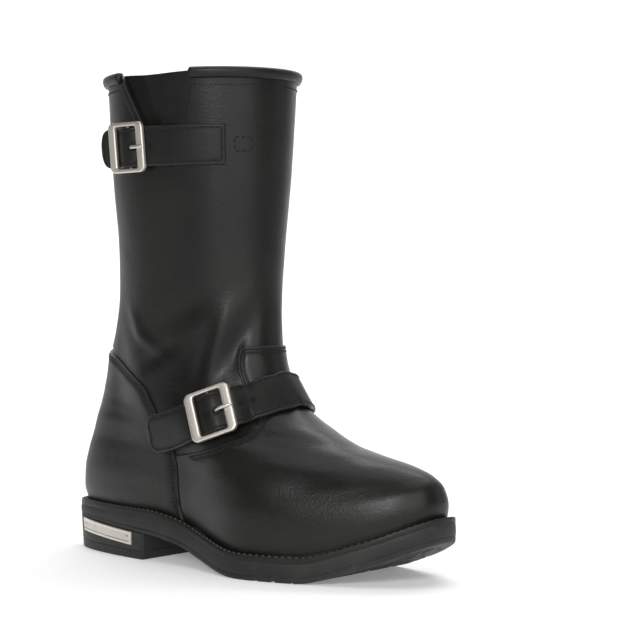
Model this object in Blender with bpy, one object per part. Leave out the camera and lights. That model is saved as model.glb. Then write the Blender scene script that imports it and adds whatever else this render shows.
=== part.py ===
"""Engineer boot for the right foot, built as an assembly of separate solids.

Metres, +Z up. The origin lies on the floor under the middle of the heel, +X runs to the
toe, +Y to the inner side of the foot and -Y to the outer side, where both buckles are.
Inside the helpers x starts at the back of the outsole; the empty named boot moves
everything so that the middle of the heel is the origin.
"""

import math

import bmesh
import bpy
import numpy as np
from mathutils import Vector
from mathutils.geometry import delaunay_2d_cdt

# Main sizes of the boot
LENGTH = 0.312
BALL_WIDTH = 0.113
HEIGHT = 0.3235
HEEL_HEIGHT = 0.0178
HEEL_LENGTH = 0.092
HEEL_TAPER = 0.0015
HEEL_WEDGE = 0.0056
SOLE_THICKNESS = 0.0158
TOE_SPRING = 0.028

# Sole edge and inner sole
WELT_THICKNESS = 0.0034
WELT_WIDTH = 0.0068
INSOLE_RISE = 0.0012
GROOVE_WIDTH = 0.0016
GROOVE_DEPTH = 0.0014
GROOVE_COUNT = 6

# Leather thicknesses and the clearances between pieces
LEATHER = 0.0022
VAMP_THICKNESS = 0.0014
COUNTER_THICKNESS = 0.0019
BACKSTAY_THICKNESS = 0.0012
BACKSTAY_WIDTH = 0.018
GUSSET_THICKNESS = 0.0014
GUSSET_OVERLAP = 0.005
GAP = 0.0003
PANEL_GAP = 0.00055

# Collar binding
BINDING_RISE = 0.0022
BINDING_PROUD = 0.0034
BINDING_DROP = 0.0040

# Straps, their holding tabs and the two buckles
STRAP_THICKNESS = 0.0022
SHAFT_STRAP_WIDTH = 0.0258
ANKLE_STRAP_WIDTH = 0.0258
CHAPE_THICKNESS = 0.0014
CHAPE_WIDTH = 0.014
BUCKLE_LENGTH = 0.032
BUCKLE_HEIGHT = 0.0330
BUCKLE_BAR = 0.0063
BUCKLE_RAIL = 0.0027
BUCKLE_THICKNESS = 0.0024
CENTRE_BAR = 0.0018
PRONG = 0.0024
PRONG_SLOT = 0.0042

# Badge plate on the outer side of the heel
BADGE_HEIGHT = 0.0092
BADGE_THICKNESS = 0.0008

# Mesh counts
COLUMNS = 52
RINGS = 22

# One row per section of the upper, from the welt to the collar. Lengths along the foot
# are shares of LENGTH from the back of the outsole, heights are shares of the rise from
# the heel seat to the collar, and half widths are shares of half of BALL_WIDTH.
COLUMN_NAMES = (
    "back", "front", "back_z", "front_z", "follow",
    "heel", "waist", "ball", "toe", "round_back", "round_front",
)
SECTIONS = (
    # back front back_z front_z follow heel waist ball toe round_back round_front
    (0.028, 0.966, 0.000, 0.000, 1.00, 0.56, 0.56, 0.86, 0.72, 2.3, 2.4),  # feather line
    (0.018, 0.970, 0.035, 0.032, 0.95, 0.59, 0.60, 0.89, 0.73, 2.3, 2.4),  # side wall
    (0.021, 0.963, 0.080, 0.070, 0.85, 0.60, 0.63, 0.90, 0.72, 2.3, 2.3),  # fullest girth
    (0.033, 0.942, 0.125, 0.103, 0.65, 0.59, 0.64, 0.88, 0.68, 2.3, 2.15),  # toe box side
    (0.046, 0.895, 0.165, 0.134, 0.45, 0.58, 0.65, 0.84, 0.63, 2.2, 2.1),  # toe box top
    (0.058, 0.828, 0.200, 0.155, 0.25, 0.58, 0.66, 0.80, 0.60, 2.2, 2.0),  # vamp
    (0.070, 0.757, 0.235, 0.172, 0.10, 0.57, 0.67, 0.75, 0.60, 2.1, 2.0),  # lower instep
    (0.081, 0.690, 0.270, 0.198, 0.00, 0.55, 0.67, 0.70, 0.63, 2.1, 2.1),  # instep
    (0.090, 0.612, 0.310, 0.258, 0.00, 0.55, 0.67, 0.68, 0.62, 2.0, 2.1),  # throat
    (0.100, 0.566, 0.355, 0.350, 0.00, 0.56, 0.67, 0.68, 0.63, 2.0, 2.2),  # ankle
    (0.116, 0.556, 0.410, 0.415, 0.00, 0.60, 0.68, 0.69, 0.65, 2.0, 2.2),  # above ankle
    (0.136, 0.554, 0.500, 0.505, 0.00, 0.67, 0.71, 0.71, 0.70, 2.0, 2.1),  # low shaft
    (0.142, 0.560, 0.620, 0.625, 0.00, 0.76, 0.78, 0.78, 0.77, 2.0, 2.0),  # middle shaft
    (0.134, 0.570, 0.760, 0.762, 0.00, 0.85, 0.86, 0.86, 0.85, 2.0, 2.0),  # full shaft
    (0.130, 0.576, 0.890, 0.890, 0.00, 0.91, 0.92, 0.92, 0.91, 2.0, 2.0),  # below collar
    (0.128, 0.580, 1.000, 1.000, 0.00, 0.96, 0.96, 0.96, 0.96, 2.0, 2.0),  # collar
)
TOP_ROW = len(SECTIONS) - 1

# Places on the upper are pairs: a turn from the toe (0) through the inner side (+0.25) or
# the outer side (-0.25) to the back (0.5), and a row of the table above.
NOTCH_FRONT = ((-0.174, 15.0), (-0.182, 14.45), (-0.192, 13.9), (-0.205, 13.3))
NOTCH_REAR = ((-0.308, 15.0), (-0.285, 14.53), (-0.261, 14.03), (-0.232, 13.3))
VAMP_EDGE = ((0.279, 3.65), (0.243, 4.4), (0.194, 5.47), (0.1625, 6.17), (0.132, 6.9))
TONGUE_EDGE = ((0.108, 7.45), (0.101, 8.0), (0.096, 9.1), (0.080, 9.45))
COUNTER_EDGE = ((0.280, 7.3), (0.292, 8.05), (0.330, 8.5), (0.385, 8.9), (0.45, 9.1))
ANKLE_LINE = ((0.0, 8.25), (0.06, 8.12), (0.10, 7.9), (0.14, 7.68), (0.185, 7.15), (0.235, 6.15))


def spread(stations, values, s):
    """Smooth curve through the values at the stations, never overshooting one of them."""
    t = np.asarray(stations, float)
    y = np.asarray(values, float)
    step = np.diff(t)
    slope = np.diff(y) / step
    m = np.zeros(len(t))
    for i in range(1, len(t) - 1):
        if slope[i - 1] * slope[i] > 0:
            a = 2 * step[i] + step[i - 1]
            b = step[i] + 2 * step[i - 1]
            m[i] = (a + b) / (a / slope[i - 1] + b / slope[i])
    m[0], m[-1] = slope[0], slope[-1]
    s = np.clip(s, t[0], t[-1])
    i = np.clip(np.searchsorted(t, s, side="right") - 1, 0, len(step) - 1)
    q = (s - t[i]) / step[i]
    rise = (3 - 2 * q) * q * q
    ends = y[i] * (1 - rise) + y[i + 1] * rise
    return ends + step[i] * q * (1 - q) * ((1 - q) * m[i] - q * m[i + 1])


def smooth_step(q):
    """Ease from 0 to 1 as q goes from 0 to 1."""
    q = np.clip(q, 0.0, 1.0)
    return q * q * (3 - 2 * q)


def tread_height(x):
    """Height of the outsole's underside: level on the heel, an arch, the ball, the spring."""
    stations = (0.0, 0.30, 0.38, 0.48, 0.61, 0.74, 0.87, 1.0)
    arch = (HEEL_HEIGHT, HEEL_HEIGHT, 0.84 * HEEL_HEIGHT, 0.40 * HEEL_HEIGHT)
    toe = (0.0, 0.0, 0.39 * TOE_SPRING, TOE_SPRING)
    return spread(stations, arch + toe, np.asarray(x) / LENGTH)


def heel_top(x):
    """Height of the seam between heel block and outsole, rising to the back of the heel."""
    return HEEL_HEIGHT + HEEL_WEDGE * np.clip(1 - np.asarray(x) / HEEL_LENGTH, 0, 1)


def underside(x):
    """Underside of the outsole itself, which lies on the heel block."""
    return np.where(np.asarray(x) < HEEL_LENGTH, heel_top(x), tread_height(x))


def deck_height(x):
    """Height of the welt's top face, on which the upper stands."""
    return tread_height(x) + SOLE_THICKNESS


def centre_line(x):
    """Sideways drift of the last's middle: outward at the waist, inward at the toe."""
    u = np.clip(np.asarray(x) / LENGTH, 0, 1)
    waist = -0.012 * np.sin(np.pi * u) ** 2
    toe = 0.024 * np.clip((u - 0.55) / 0.45, 0, 1) ** 2
    return LENGTH * (waist + toe)


def row_values(v):
    """Every column of the section table at the row position v."""
    k = np.arange(len(SECTIONS))
    columns = np.array(SECTIONS).T
    return {name: spread(k, columns[i], v) for i, name in enumerate(COLUMN_NAMES)}


def half_width(c, s, inner_side):
    """Half width at the share s from back to front; the ball sits further back outside."""
    stations = np.array((0.0, 0.16, 0.44, 0.69, 1.0))
    shift = np.where(inner_side, -0.04, 0.04) * np.sin(np.pi * s)
    names = ("heel", "heel", "waist", "ball", "toe")
    values = np.stack([np.broadcast_to(c[n], s.shape) for n in names])
    at = s + shift
    i = np.clip(np.searchsorted(stations, at, side="right") - 1, 0, 3)
    q = smooth_step((at - stations[i]) / (stations[i + 1] - stations[i]))
    low = np.take_along_axis(values, i[None], 0)[0]
    high = np.take_along_axis(values, i[None] + 1, 0)[0]
    return (low + (high - low) * q) * BALL_WIDTH / 2


def skin(u, v):
    """Points of the upper's outer surface at the turns u and the row positions v."""
    u, v = np.broadcast_arrays(np.asarray(u, float), np.asarray(v, float))
    c = row_values(v)
    phi = 2 * np.pi * u
    s = (1 + np.cos(phi)) / 2
    x = LENGTH * (c["back"] + s * (c["front"] - c["back"]))
    seat = HEEL_HEIGHT + SOLE_THICKNESS
    rise = HEIGHT - BINDING_RISE - seat
    z = seat + rise * (c["back_z"] + s * (c["front_z"] - c["back_z"]))
    z = z + c["follow"] * (deck_height(x) - seat) + GAP
    power = c["round_back"] + (c["round_front"] - c["round_back"]) * s
    closing = np.maximum(1 - np.abs(np.cos(phi)) ** power, 0) ** (1 / power)
    inner_side = np.sin(phi) > 0
    width = half_width(c, s, inner_side)
    foot = smooth_step(1.35 - v / 8.0)
    y = np.where(inner_side, 1, -1) * width * closing + centre_line(x) * foot
    return np.stack((x, y, z), -1)


def skin_normal(u, v):
    """Outward unit normals of the upper's outer surface."""
    e = 1e-3
    along = skin(np.asarray(u) + e, v) - skin(np.asarray(u) - e, v)
    up = skin(u, np.minimum(np.asarray(v) + 0.02, TOP_ROW)) - skin(u, np.maximum(np.asarray(v) - 0.02, 0))
    n = np.cross(along, up)
    return n / np.linalg.norm(n, axis=-1, keepdims=True)


def off_skin(u, v, height):
    """A point that stands the given height off the upper's outer surface."""
    return skin(u, v) + skin_normal(u, v) * np.asarray(height)[..., None]


def line_at(points, v):
    """The turn of a steep line on the upper at the row positions v."""
    pairs = sorted((p[1], p[0]) for p in points)
    return np.interp(v, [p[0] for p in pairs], [p[1] for p in pairs])


NOTCH_LOW = min(p[1] for p in NOTCH_FRONT)
FRONT_COLUMN = round(COLUMNS * (1 + line_at(NOTCH_FRONT, TOP_ROW)))
REAR_COLUMN = round(COLUMNS * (1 + line_at(NOTCH_REAR, TOP_ROW)))


def column_turns(v):
    """Turn of every column of one ring; two columns follow the edges of the notch."""
    plain = np.arange(COLUMNS + 1) / COLUMNS
    front = 1 + line_at(NOTCH_FRONT, v)
    rear = 1 + line_at(NOTCH_REAR, v)
    knots = (0, COLUMNS // 2, REAR_COLUMN, FRONT_COLUMN, COLUMNS)
    bent = np.interp(np.arange(COLUMNS + 1), knots, (0.0, 0.5, rear, front, 1.0))
    share = smooth_step((v - (NOTCH_LOW - 2.5)) / 2.5)
    return (plain + (bent - plain) * share)[:COLUMNS]


def ring_rows():
    """Row positions of the rings: closer on the foot, and one at the notch's lower end."""
    rows = [TOP_ROW * (i / RINGS) for i in range(RINGS + 1)]
    nearest = min(range(len(rows)), key=lambda i: abs(rows[i] - NOTCH_LOW))
    rows[nearest] = NOTCH_LOW
    return rows, nearest


ROWS, NOTCH_RING = ring_rows()


def make_lattice():
    """Outer points and unit normals of the upper, ring by ring."""
    points = np.array([skin(column_turns(v), v) for v in ROWS])
    along = np.roll(points, -1, 1) - np.roll(points, 1, 1)
    up = np.gradient(points, axis=0)
    normals = np.cross(along, up)
    normals /= np.linalg.norm(normals, axis=-1, keepdims=True)
    return points, normals


LATTICE, LATTICE_NORMAL = make_lattice()


def to_lattice(u, v):
    """Column and ring position of a place on the foot, below the notch."""
    return u * COLUMNS, float(np.interp(v, ROWS, range(len(ROWS))))


def off_lattice(column, ring, height):
    """A point off the upper's faceted surface, so that panels follow its facets."""
    j = math.floor(column + 1e-9)
    i = min(math.floor(ring + 1e-9), len(ROWS) - 2)
    a, b = column - j, ring - i
    lifted = [
        LATTICE[r, c % COLUMNS] + LATTICE_NORMAL[r, c % COLUMNS] * height
        for r, c in ((i, j), (i, j + 1), (i + 1, j + 1), (i + 1, j))
    ]
    if a >= b:
        return lifted[0] + a * (lifted[1] - lifted[0]) + b * (lifted[2] - lifted[1])
    return lifted[0] + b * (lifted[3] - lifted[0]) + a * (lifted[2] - lifted[3])


def material(name, color, roughness, metallic=0.0):
    """A plain Principled material."""
    made = bpy.data.materials.new(name)
    made.use_nodes = True
    shader = made.node_tree.nodes["Principled BSDF"]
    shader.inputs["Base Color"].default_value = (*color, 1.0)
    shader.inputs["Roughness"].default_value = roughness
    shader.inputs["Metallic"].default_value = metallic
    return made


def add_object(name, vertices, faces, look, parent, smooth=35.0):
    """Make one closed solid, with its faces turned outward."""
    mesh = bpy.data.meshes.new(name)
    mesh.from_pydata([tuple(map(float, p)) for p in vertices], [], [tuple(f) for f in faces])
    form = bmesh.new()
    form.from_mesh(mesh)
    if form.calc_volume(signed=True) < 0:
        bmesh.ops.reverse_faces(form, faces=form.faces)
    form.to_mesh(mesh)
    form.free()
    mesh.shade_smooth()
    mesh.set_sharp_from_angle(angle=math.radians(smooth))
    mesh.materials.append(look)
    made = bpy.data.objects.new(name, mesh)
    made.parent = parent
    bpy.context.scene.collection.objects.link(made)
    return made


def thicken(faces, outer, inner):
    """Close a sheet of faces into a solid between its outer and inner points."""
    n = len(outer)
    solid = [tuple(f) for f in faces] + [tuple(n + k for k in reversed(f)) for f in faces]
    edges = {(f[k], f[(k + 1) % len(f)]) for f in faces for k in range(len(f))}
    for a, b in sorted(edges):
        if (b, a) not in edges:
            solid.append((b, a, n + a, n + b))
    return list(outer) + list(inner), solid


def grid_faces(rings, columns, closed, present=None):
    """Triangles of a grid of points; present(ring, column) says which cells exist."""
    faces = []
    for i in range(rings - 1):
        for j in range(columns if closed else columns - 1):
            if present is not None and not present(i, j):
                continue
            k = (j + 1) % columns
            a, b = i * columns + j, i * columns + k
            d, c = a + columns, b + columns
            faces += [(a, b, c), (a, c, d)]
    return faces


def drop_unused(vertices, faces):
    """Leave out the vertices that no face uses."""
    used = sorted({k for f in faces for k in f})
    place = {k: i for i, k in enumerate(used)}
    return [vertices[k] for k in used], [tuple(place[k] for k in f) for f in faces]


def outline_ring(grow):
    """Plan outline at the feather line, moved outward by grow; one point per column."""
    flat = LATTICE[0, :, :2]
    along = np.roll(flat, -1, 0) - np.roll(flat, 1, 0)
    along /= np.linalg.norm(along, axis=1)[:, None]
    return flat + grow * np.stack((along[:, 1], -along[:, 0]), -1)


def slab(outline, low, high):
    """A plate between two height functions of x; both faces are strips across the foot."""
    n = len(outline)
    bottom = [(x, y, float(low(x))) for x, y in outline]
    top = [(x, y, float(high(x))) for x, y in outline]
    faces = []
    for i in range(n):
        k = (i + 1) % n
        faces += [(i, k, n + k), (i, n + k, n + i)]
    for i in range(n // 2):
        a, b, c, d = i, i + 1, (n - i - 1) % n, (n - i) % n
        for shift in (0, n):
            ring = [a + shift, b + shift, c + shift, d + shift]
            ring = [k for m, k in enumerate(ring) if k not in ring[:m]]
            faces.append(tuple(ring if shift else reversed(ring)))
    return bottom + top, faces


def add_sole(parent, rubber, leather):
    """Outsole with its tread grooves, heel block, welt ring and insole."""
    edge = outline_ring(WELT_WIDTH)
    seam = lambda x: tread_height(x) + SOLE_THICKNESS - WELT_THICKNESS

    verts, faces = slab(edge, underside, lambda x: seam(x) - GAP)
    outsole = add_object("outsole", verts, faces, rubber, parent)
    cut_grooves(outsole, edge, parent)

    n = COLUMNS
    inner = outline_ring(-LEATHER - 0.0004)
    rings = []
    for flat, height in ((edge, seam), (edge, deck_height), (inner, deck_height), (inner, seam)):
        rings.append([(x, y, float(height(x))) for x, y in flat])
    verts = [p for ring in rings for p in ring]
    faces = []
    for i in range(4):
        for j in range(n):
            k = (j + 1) % n
            a, b = i * n + j, i * n + k
            d, c = (i + 1) % 4 * n + j, (i + 1) % 4 * n + k
            faces += [(a, b, c), (a, c, d)]
    add_object("welt", verts, faces, leather, parent)

    inside = outline_ring(-LEATHER - 0.0012)
    verts, faces = slab(inside, lambda x: seam(x) + GAP, lambda x: deck_height(x) + INSOLE_RISE)
    add_object("insole", verts, faces, leather, parent)


def cut_grooves(outsole, edge, parent):
    """Cut the tread's narrow cross grooves, which show as notches in the sole's edge."""
    cutter = bmesh.new()
    width = 1.4 * float(edge[:, 1].max() - edge[:, 1].min())
    for k in range(GROOVE_COUNT):
        x = LENGTH * (0.66 + 0.20 * k / max(GROOVE_COUNT - 1, 1))
        made = bmesh.ops.create_cube(cutter, size=1.0)["verts"]
        bmesh.ops.scale(cutter, vec=(GROOVE_WIDTH, width, 2 * GROOVE_DEPTH), verts=made)
        bmesh.ops.translate(cutter, vec=(x, 0.0, float(tread_height(x))), verts=made)
    mesh = bpy.data.meshes.new("groove_cutter")
    cutter.to_mesh(mesh)
    cutter.free()
    tool = bpy.data.objects.new("groove_cutter", mesh)
    tool.parent = parent
    tool.hide_render = True
    tool.display_type = "WIRE"
    bpy.context.scene.collection.objects.link(tool)
    cut = outsole.modifiers.new("grooves", "BOOLEAN")
    cut.operation = "DIFFERENCE"
    cut.solver = "EXACT"
    cut.object = tool


def heel_outline():
    """The sole's outline behind the heel's front face, as an open line from side to side."""
    edge = outline_ring(WELT_WIDTH)
    line = []
    for i in range(COLUMNS):
        p, q = edge[i], edge[(i + 1) % COLUMNS]
        if p[0] <= HEEL_LENGTH:
            line.append(tuple(p))
        if (p[0] - HEEL_LENGTH) * (q[0] - HEEL_LENGTH) < 0:
            t = (HEEL_LENGTH - p[0]) / (q[0] - p[0])
            line.append(tuple(p + t * (q - p)))
    return line


def tapered(points, share):
    """Plan points of the heel's wall, drawn in by a share of the heel's taper."""
    middle = np.array((HEEL_LENGTH / 2, 0.0))
    half = np.array((HEEL_LENGTH / 2, BALL_WIDTH / 3))
    points = np.array(points)
    return points - share * HEEL_TAPER * np.clip((points - middle) / half, -1, 1)


def add_heel(parent, rubber):
    """The heel block, narrowing slightly to the floor, with an upright front face."""
    top = heel_outline()
    n = len(top)
    verts = [(x, y, 0.0) for x, y in tapered(top, 1.0)]
    verts += [(x, y, float(heel_top(x)) - GAP) for x, y in top]
    faces = [tuple(reversed(range(n))), tuple(range(n, 2 * n))]
    faces += [(i, (i + 1) % n, n + (i + 1) % n, n + i) for i in range(n)]
    add_object("heel", verts, faces, rubber, parent)
    return top


def add_badge(parent, metal, line):
    """The plain plate on the outer side of the heel, bent to the heel's curve."""
    line = np.array(line)
    lateral = line[line[:, 1] < 0]
    lateral = lateral[np.argsort(lateral[:, 0])]
    steps = np.concatenate(([0], np.cumsum(np.linalg.norm(np.diff(lateral, axis=0), axis=1))))
    reach = np.linspace(0.29 * steps[-1], 0.89 * steps[-1], 12)
    flat = np.stack([np.interp(reach, steps, lateral[:, k]) for k in (0, 1)], -1)
    along = np.gradient(flat, axis=0)
    along /= np.linalg.norm(along, axis=1)[:, None]
    out = np.stack((along[:, 1], -along[:, 0]), -1)
    top = heel_top(flat[:, 0]) - GAP
    rings = []
    for off in (2 * GAP + BADGE_THICKNESS, 2 * GAP):
        for down in (BADGE_HEIGHT, 0.0):
            plan = tapered(flat, down / HEEL_HEIGHT) + off * out
            rings.append(np.column_stack((plan, top - down)))
    outer = np.concatenate(rings[:2])
    inner = np.concatenate(rings[2:])
    verts, faces = thicken(grid_faces(2, len(flat), False), outer, inner)
    add_object("heel_badge", verts, faces, metal, parent)


def add_upper(parent, leather):
    """The hollow upper: open at the collar and its notch, and open underneath."""
    def present(i, j):
        return not (i >= NOTCH_RING and REAR_COLUMN <= j < FRONT_COLUMN)

    outer = LATTICE.reshape(-1, 3)
    inner = (LATTICE - LATTICE_NORMAL * LEATHER).copy()
    inner[0, :, 2] = LATTICE[0, :, 2]
    inner[-1, :, 2] = LATTICE[-1, :, 2]
    faces = grid_faces(len(ROWS), COLUMNS, True, present)
    verts, faces = thicken(faces, outer, inner.reshape(-1, 3))
    verts, faces = drop_unused(verts, faces)
    add_object("upper", verts, faces, leather, parent)


def inside(point, polygon):
    """Whether a plan point lies inside a closed polygon."""
    x, y = point
    hit = False
    for (x1, y1), (x2, y2) in zip(polygon, polygon[1:] + polygon[:1]):
        if (y1 > y) != (y2 > y) and x < x1 + (y - y1) / (y2 - y1) * (x2 - x1):
            hit = not hit
    return hit


def distance_to(point, polygon):
    """Shortest distance from a plan point to a closed polygon's edge."""
    p = np.array(point)
    best = 1e9
    for a, b in zip(polygon, polygon[1:] + polygon[:1]):
        a, b = np.array(a), np.array(b)
        t = np.clip(np.dot(p - a, b - a) / max(np.dot(b - a, b - a), 1e-12), 0, 1)
        best = min(best, float(np.linalg.norm(p - a - t * (b - a))))
    return best


def cut_at_lattice(a, b):
    """Points from a up to b, one wherever the line between them crosses the lattice."""
    shares = {0.0}
    for k in (0, 1):
        low, high = sorted((a[k], b[k]))
        for whole in range(math.ceil(low), math.floor(high) + 1):
            if high - low > 1e-9:
                shares.add((whole - a[k]) / (b[k] - a[k]))
    kept = []
    for t in sorted(t for t in shares if t < 1 - 1e-9):
        if not kept or t - kept[-1] > 0.2 / max(math.dist(a, b), 0.2):
            kept.append(t)
    return [(a[0] + (b[0] - a[0]) * t, a[1] + (b[1] - a[1]) * t) for t in kept]


def panel(corners, low, high):
    """A piece of leather lying on the upper, between two heights off its facets."""
    line = []
    for (u1, v1), (u2, v2) in zip(corners, corners[1:] + corners[:1]):
        line += cut_at_lattice(to_lattice(u1, v1), to_lattice(u2, v2))
    columns = [p[0] for p in line]
    rings = [p[1] for p in line]
    nodes = []
    for j in range(math.floor(min(columns)), math.ceil(max(columns)) + 1):
        for i in range(math.floor(min(rings)), math.ceil(max(rings)) + 1):
            if inside((j, i), line) and distance_to((j, i), line) > 0.33:
                nodes.append((j, i))
    n = len(line)
    place = {p: n + k for k, p in enumerate(nodes)}
    edges = [(k, (k + 1) % n) for k in range(n)]
    for j, i in nodes:
        if all(q in place for q in ((j + 1, i), (j, i + 1), (j + 1, i + 1))):
            edges.append((place[(j, i)], place[(j + 1, i + 1)]))
    points = [Vector(p) for p in line + nodes]
    made, _, faces, *_ = delaunay_2d_cdt(points, edges, [], 0, 1e-6)
    kept = []
    for f in faces:
        middle = sum((made[k] for k in f), Vector((0, 0))) / 3
        if inside((middle.x, middle.y), line):
            kept.append(tuple(f))
    outer = [off_lattice(p.x, p.y, high) for p in made]
    inner = [off_lattice(p.x, p.y, low) for p in made]
    verts, faces = thicken(kept, outer, inner)
    return drop_unused(verts, faces)


def both_sides(half):
    """A closed line from its outer half: given left to right on the inner side, mirrored."""
    return [(-u, v) for u, v in half] + [(u, v) for u, v in reversed(half)]


def add_panels(parent, leather):
    """The vamp with its tongue, the heel counter and the strip up the back."""
    low = 0.16
    side = VAMP_EDGE[0][0]
    half = [(side, low)] + list(VAMP_EDGE) + list(TONGUE_EDGE)
    verts, faces = panel(both_sides(half), PANEL_GAP, PANEL_GAP + VAMP_THICKNESS)
    add_object("vamp", verts, faces, leather, parent)

    start = COUNTER_EDGE[0][0] + 0.0012
    half = [(start, low)] + [(max(u, start), v) for u, v in COUNTER_EDGE]
    corners = half + [(1 - u, v) for u, v in reversed(half)]
    verts, faces = panel(corners, PANEL_GAP, PANEL_GAP + COUNTER_THICKNESS)
    add_object("counter", verts, faces, leather, parent)

    foot = COUNTER_EDGE[-1][1] + 0.22
    top = TOP_ROW - 0.55
    half = []
    for v in np.linspace(foot, top, 5):
        tangent = skin(0.505, v) - skin(0.495, v)
        half.append((0.5 - 0.005 * BACKSTAY_WIDTH / float(np.linalg.norm(tangent)), float(v)))
    corners = half + [(1 - u, v) for u, v in reversed(half)]
    verts, faces = panel(corners, PANEL_GAP, PANEL_GAP + BACKSTAY_THICKNESS)
    add_object("backstay", verts, faces, leather, parent)


def add_gusset(parent, leather):
    """The folded panel behind the notch in the collar."""
    rows = np.linspace(NOTCH_LOW - 0.35, TOP_ROW, 7)
    outer, inner = [], []
    across = 6
    deep = LEATHER + 3 * GAP
    for v in rows:
        front = 1 + line_at(NOTCH_FRONT, v)
        rear = 1 + line_at(NOTCH_REAR, v)
        speed = np.linalg.norm(skin(0.755, v) - skin(0.745, v)) / 0.01
        lap = GUSSET_OVERLAP / float(speed)
        for u in np.linspace(rear - lap, front + lap, across):
            outer.append(off_skin(u, v, -deep))
            inner.append(off_skin(u, v, -deep - GUSSET_THICKNESS))
    verts, faces = thicken(grid_faces(len(rows), across, False), outer, inner)
    add_object("gusset", verts, faces, leather, parent)


def add_binding(parent, leather):
    """The rolled binding on the collar, from one edge of the notch round to the other."""
    start = 0.002 + line_at(NOTCH_FRONT, TOP_ROW)
    stop = 1 + line_at(NOTCH_REAR, TOP_ROW) - 0.002
    turns = np.linspace(start, stop, 40)
    section = [
        (GAP, -BINDING_DROP),
        (0.55 * BINDING_PROUD, -BINDING_DROP),
        (0.93 * BINDING_PROUD, -0.55 * BINDING_DROP),
        (BINDING_PROUD, -0.05 * BINDING_DROP),
        (0.80 * BINDING_PROUD, 0.62 * BINDING_RISE),
        (0.40 * BINDING_PROUD, 0.98 * BINDING_RISE),
        (-0.55 * LEATHER, BINDING_RISE),
        (-LEATHER, 0.75 * BINDING_RISE),
        (-LEATHER, GAP),
        (GAP, GAP),
    ]
    rim = skin(turns, TOP_ROW)
    normal = skin_normal(turns, TOP_ROW)
    normal[:, 2] = 0
    normal /= np.linalg.norm(normal, axis=1)[:, None]
    verts = []
    for p, n in zip(rim, normal):
        slope = skin_normal(0.25, TOP_ROW)[2]
        for out, up in section:
            lean = -up * slope if up < 0 else 0.0
            verts.append(p + n * (out + lean * 0.6) + np.array((0, 0, up)))
    m = len(section)
    faces = grid_faces(len(turns), m, True)
    faces.append(tuple(reversed(range(m))))
    faces.append(tuple(range((len(turns) - 1) * m, len(turns) * m)))
    add_object("collar_binding", verts, faces, leather, parent)


def unit(vector):
    """The vector at length one."""
    return vector / np.linalg.norm(vector)


def strap_frame(place, ahead, height):
    """Point, direction, side and normal of a strap at a place on the upper."""
    p = off_skin(place[0], place[1], height)
    q = off_skin(ahead[0], ahead[1], height)
    normal = skin_normal(place[0], place[1])
    along = unit(q - p)
    side = unit(np.cross(normal, along))
    return p, along, side, unit(np.cross(along, side))


def smooth_path(points, samples):
    """Evenly spaced samples of a smooth line through the points."""
    points = np.asarray(points)
    t = np.concatenate(([0], np.cumsum(np.linalg.norm(np.diff(points[:, :3], axis=0), axis=1))))
    fine = np.linspace(0, t[-1], samples)
    return np.stack([spread(t, points[:, k], fine) for k in range(points.shape[1])], -1)


def strap(centres, sides, width, thickness, slot=None, round_end=0.0):
    """A flat strap along its lower middle line; slot is a pair of stations left open."""
    n = len(centres)
    steps = np.linalg.norm(np.diff(centres, axis=0), axis=1)
    to_end = np.concatenate((np.cumsum(steps[::-1])[::-1], [0]))
    outer, inner = [], []
    for i, (p, side) in enumerate(zip(centres, sides)):
        along = unit(centres[min(i + 1, n - 1)] - centres[max(i - 1, 0)])
        side = unit(side - along * np.dot(side, along))
        normal = unit(np.cross(along, side))
        half = width / 2
        if round_end:
            q = np.clip(1 - to_end[i] / round_end, 0, 1)
            half *= 0.30 + 0.70 * math.sqrt(max(1 - q * q, 0))
        gap = min(PRONG_SLOT / 2, 0.4 * half)
        for w in (-half, -gap, gap, half):
            inner.append(p + side * w)
            outer.append(p + side * w + normal * thickness)
    hole = (lambda i, j: not (slot and slot[0] <= i < slot[1] and j == 1))
    faces = grid_faces(n, 4, False, hole)
    return thicken(faces, outer, inner)


class Buckle:
    """A square frame with a centre bar, set on a strap."""

    def __init__(self, place, ahead, height):
        self.centre, self.along, self.side, self.normal = strap_frame(place, ahead, height)

    def at(self, along, side, normal):
        """A point in the buckle's own directions, from the middle of its back face."""
        return self.centre + self.along * along + self.side * side + self.normal * normal

    def frame_mesh(self):
        """The frame: a bevelled ring, wider on the two bars that the strap passes under."""
        half_l, half_h = BUCKLE_LENGTH / 2, BUCKLE_HEIGHT / 2
        rounding = 0.0035
        outer = rounded_rectangle(half_l, half_h, rounding)
        inner = rounded_rectangle(half_l - BUCKLE_BAR, half_h - BUCKLE_RAIL, 0.4 * rounding)
        bevel = 0.28 * BUCKLE_THICKNESS
        levels = (
            (outer, 0.0, 1.0), (outer, BUCKLE_THICKNESS - bevel, 1.0),
            (outer, BUCKLE_THICKNESS, 1.0 - 2 * bevel / BUCKLE_LENGTH),
            (inner, BUCKLE_THICKNESS, 1.0 + 2 * bevel / BUCKLE_LENGTH),
            (inner, BUCKLE_THICKNESS - bevel, 1.0), (inner, 0.0, 1.0),
        )
        verts = []
        for line, height, scale in levels:
            verts += [self.at(a * scale, b * scale, height) for a, b in line]
        n = len(outer)
        faces = []
        for i in range(len(levels)):
            for j in range(n):
                k = (j + 1) % n
                a, b = i * n + j, i * n + k
                d, c = (i + 1) % len(levels) * n + j, (i + 1) % len(levels) * n + k
                faces.append((a, b, c, d))
        return verts, faces

    def bar_mesh(self):
        """The centre bar, set behind the frame, with its ends reaching into the rails."""
        reach = BUCKLE_HEIGHT / 2 - BUCKLE_RAIL / 2
        half = CENTRE_BAR / 2
        path = [
            self.at(0, -reach, BUCKLE_THICKNESS / 2), self.at(0, -reach + 0.0022, -half * 1.5),
            self.at(0, reach - 0.0022, -half * 1.5), self.at(0, reach, BUCKLE_THICKNESS / 2),
        ]
        return tube(path, half, self.along, 8)


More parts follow.
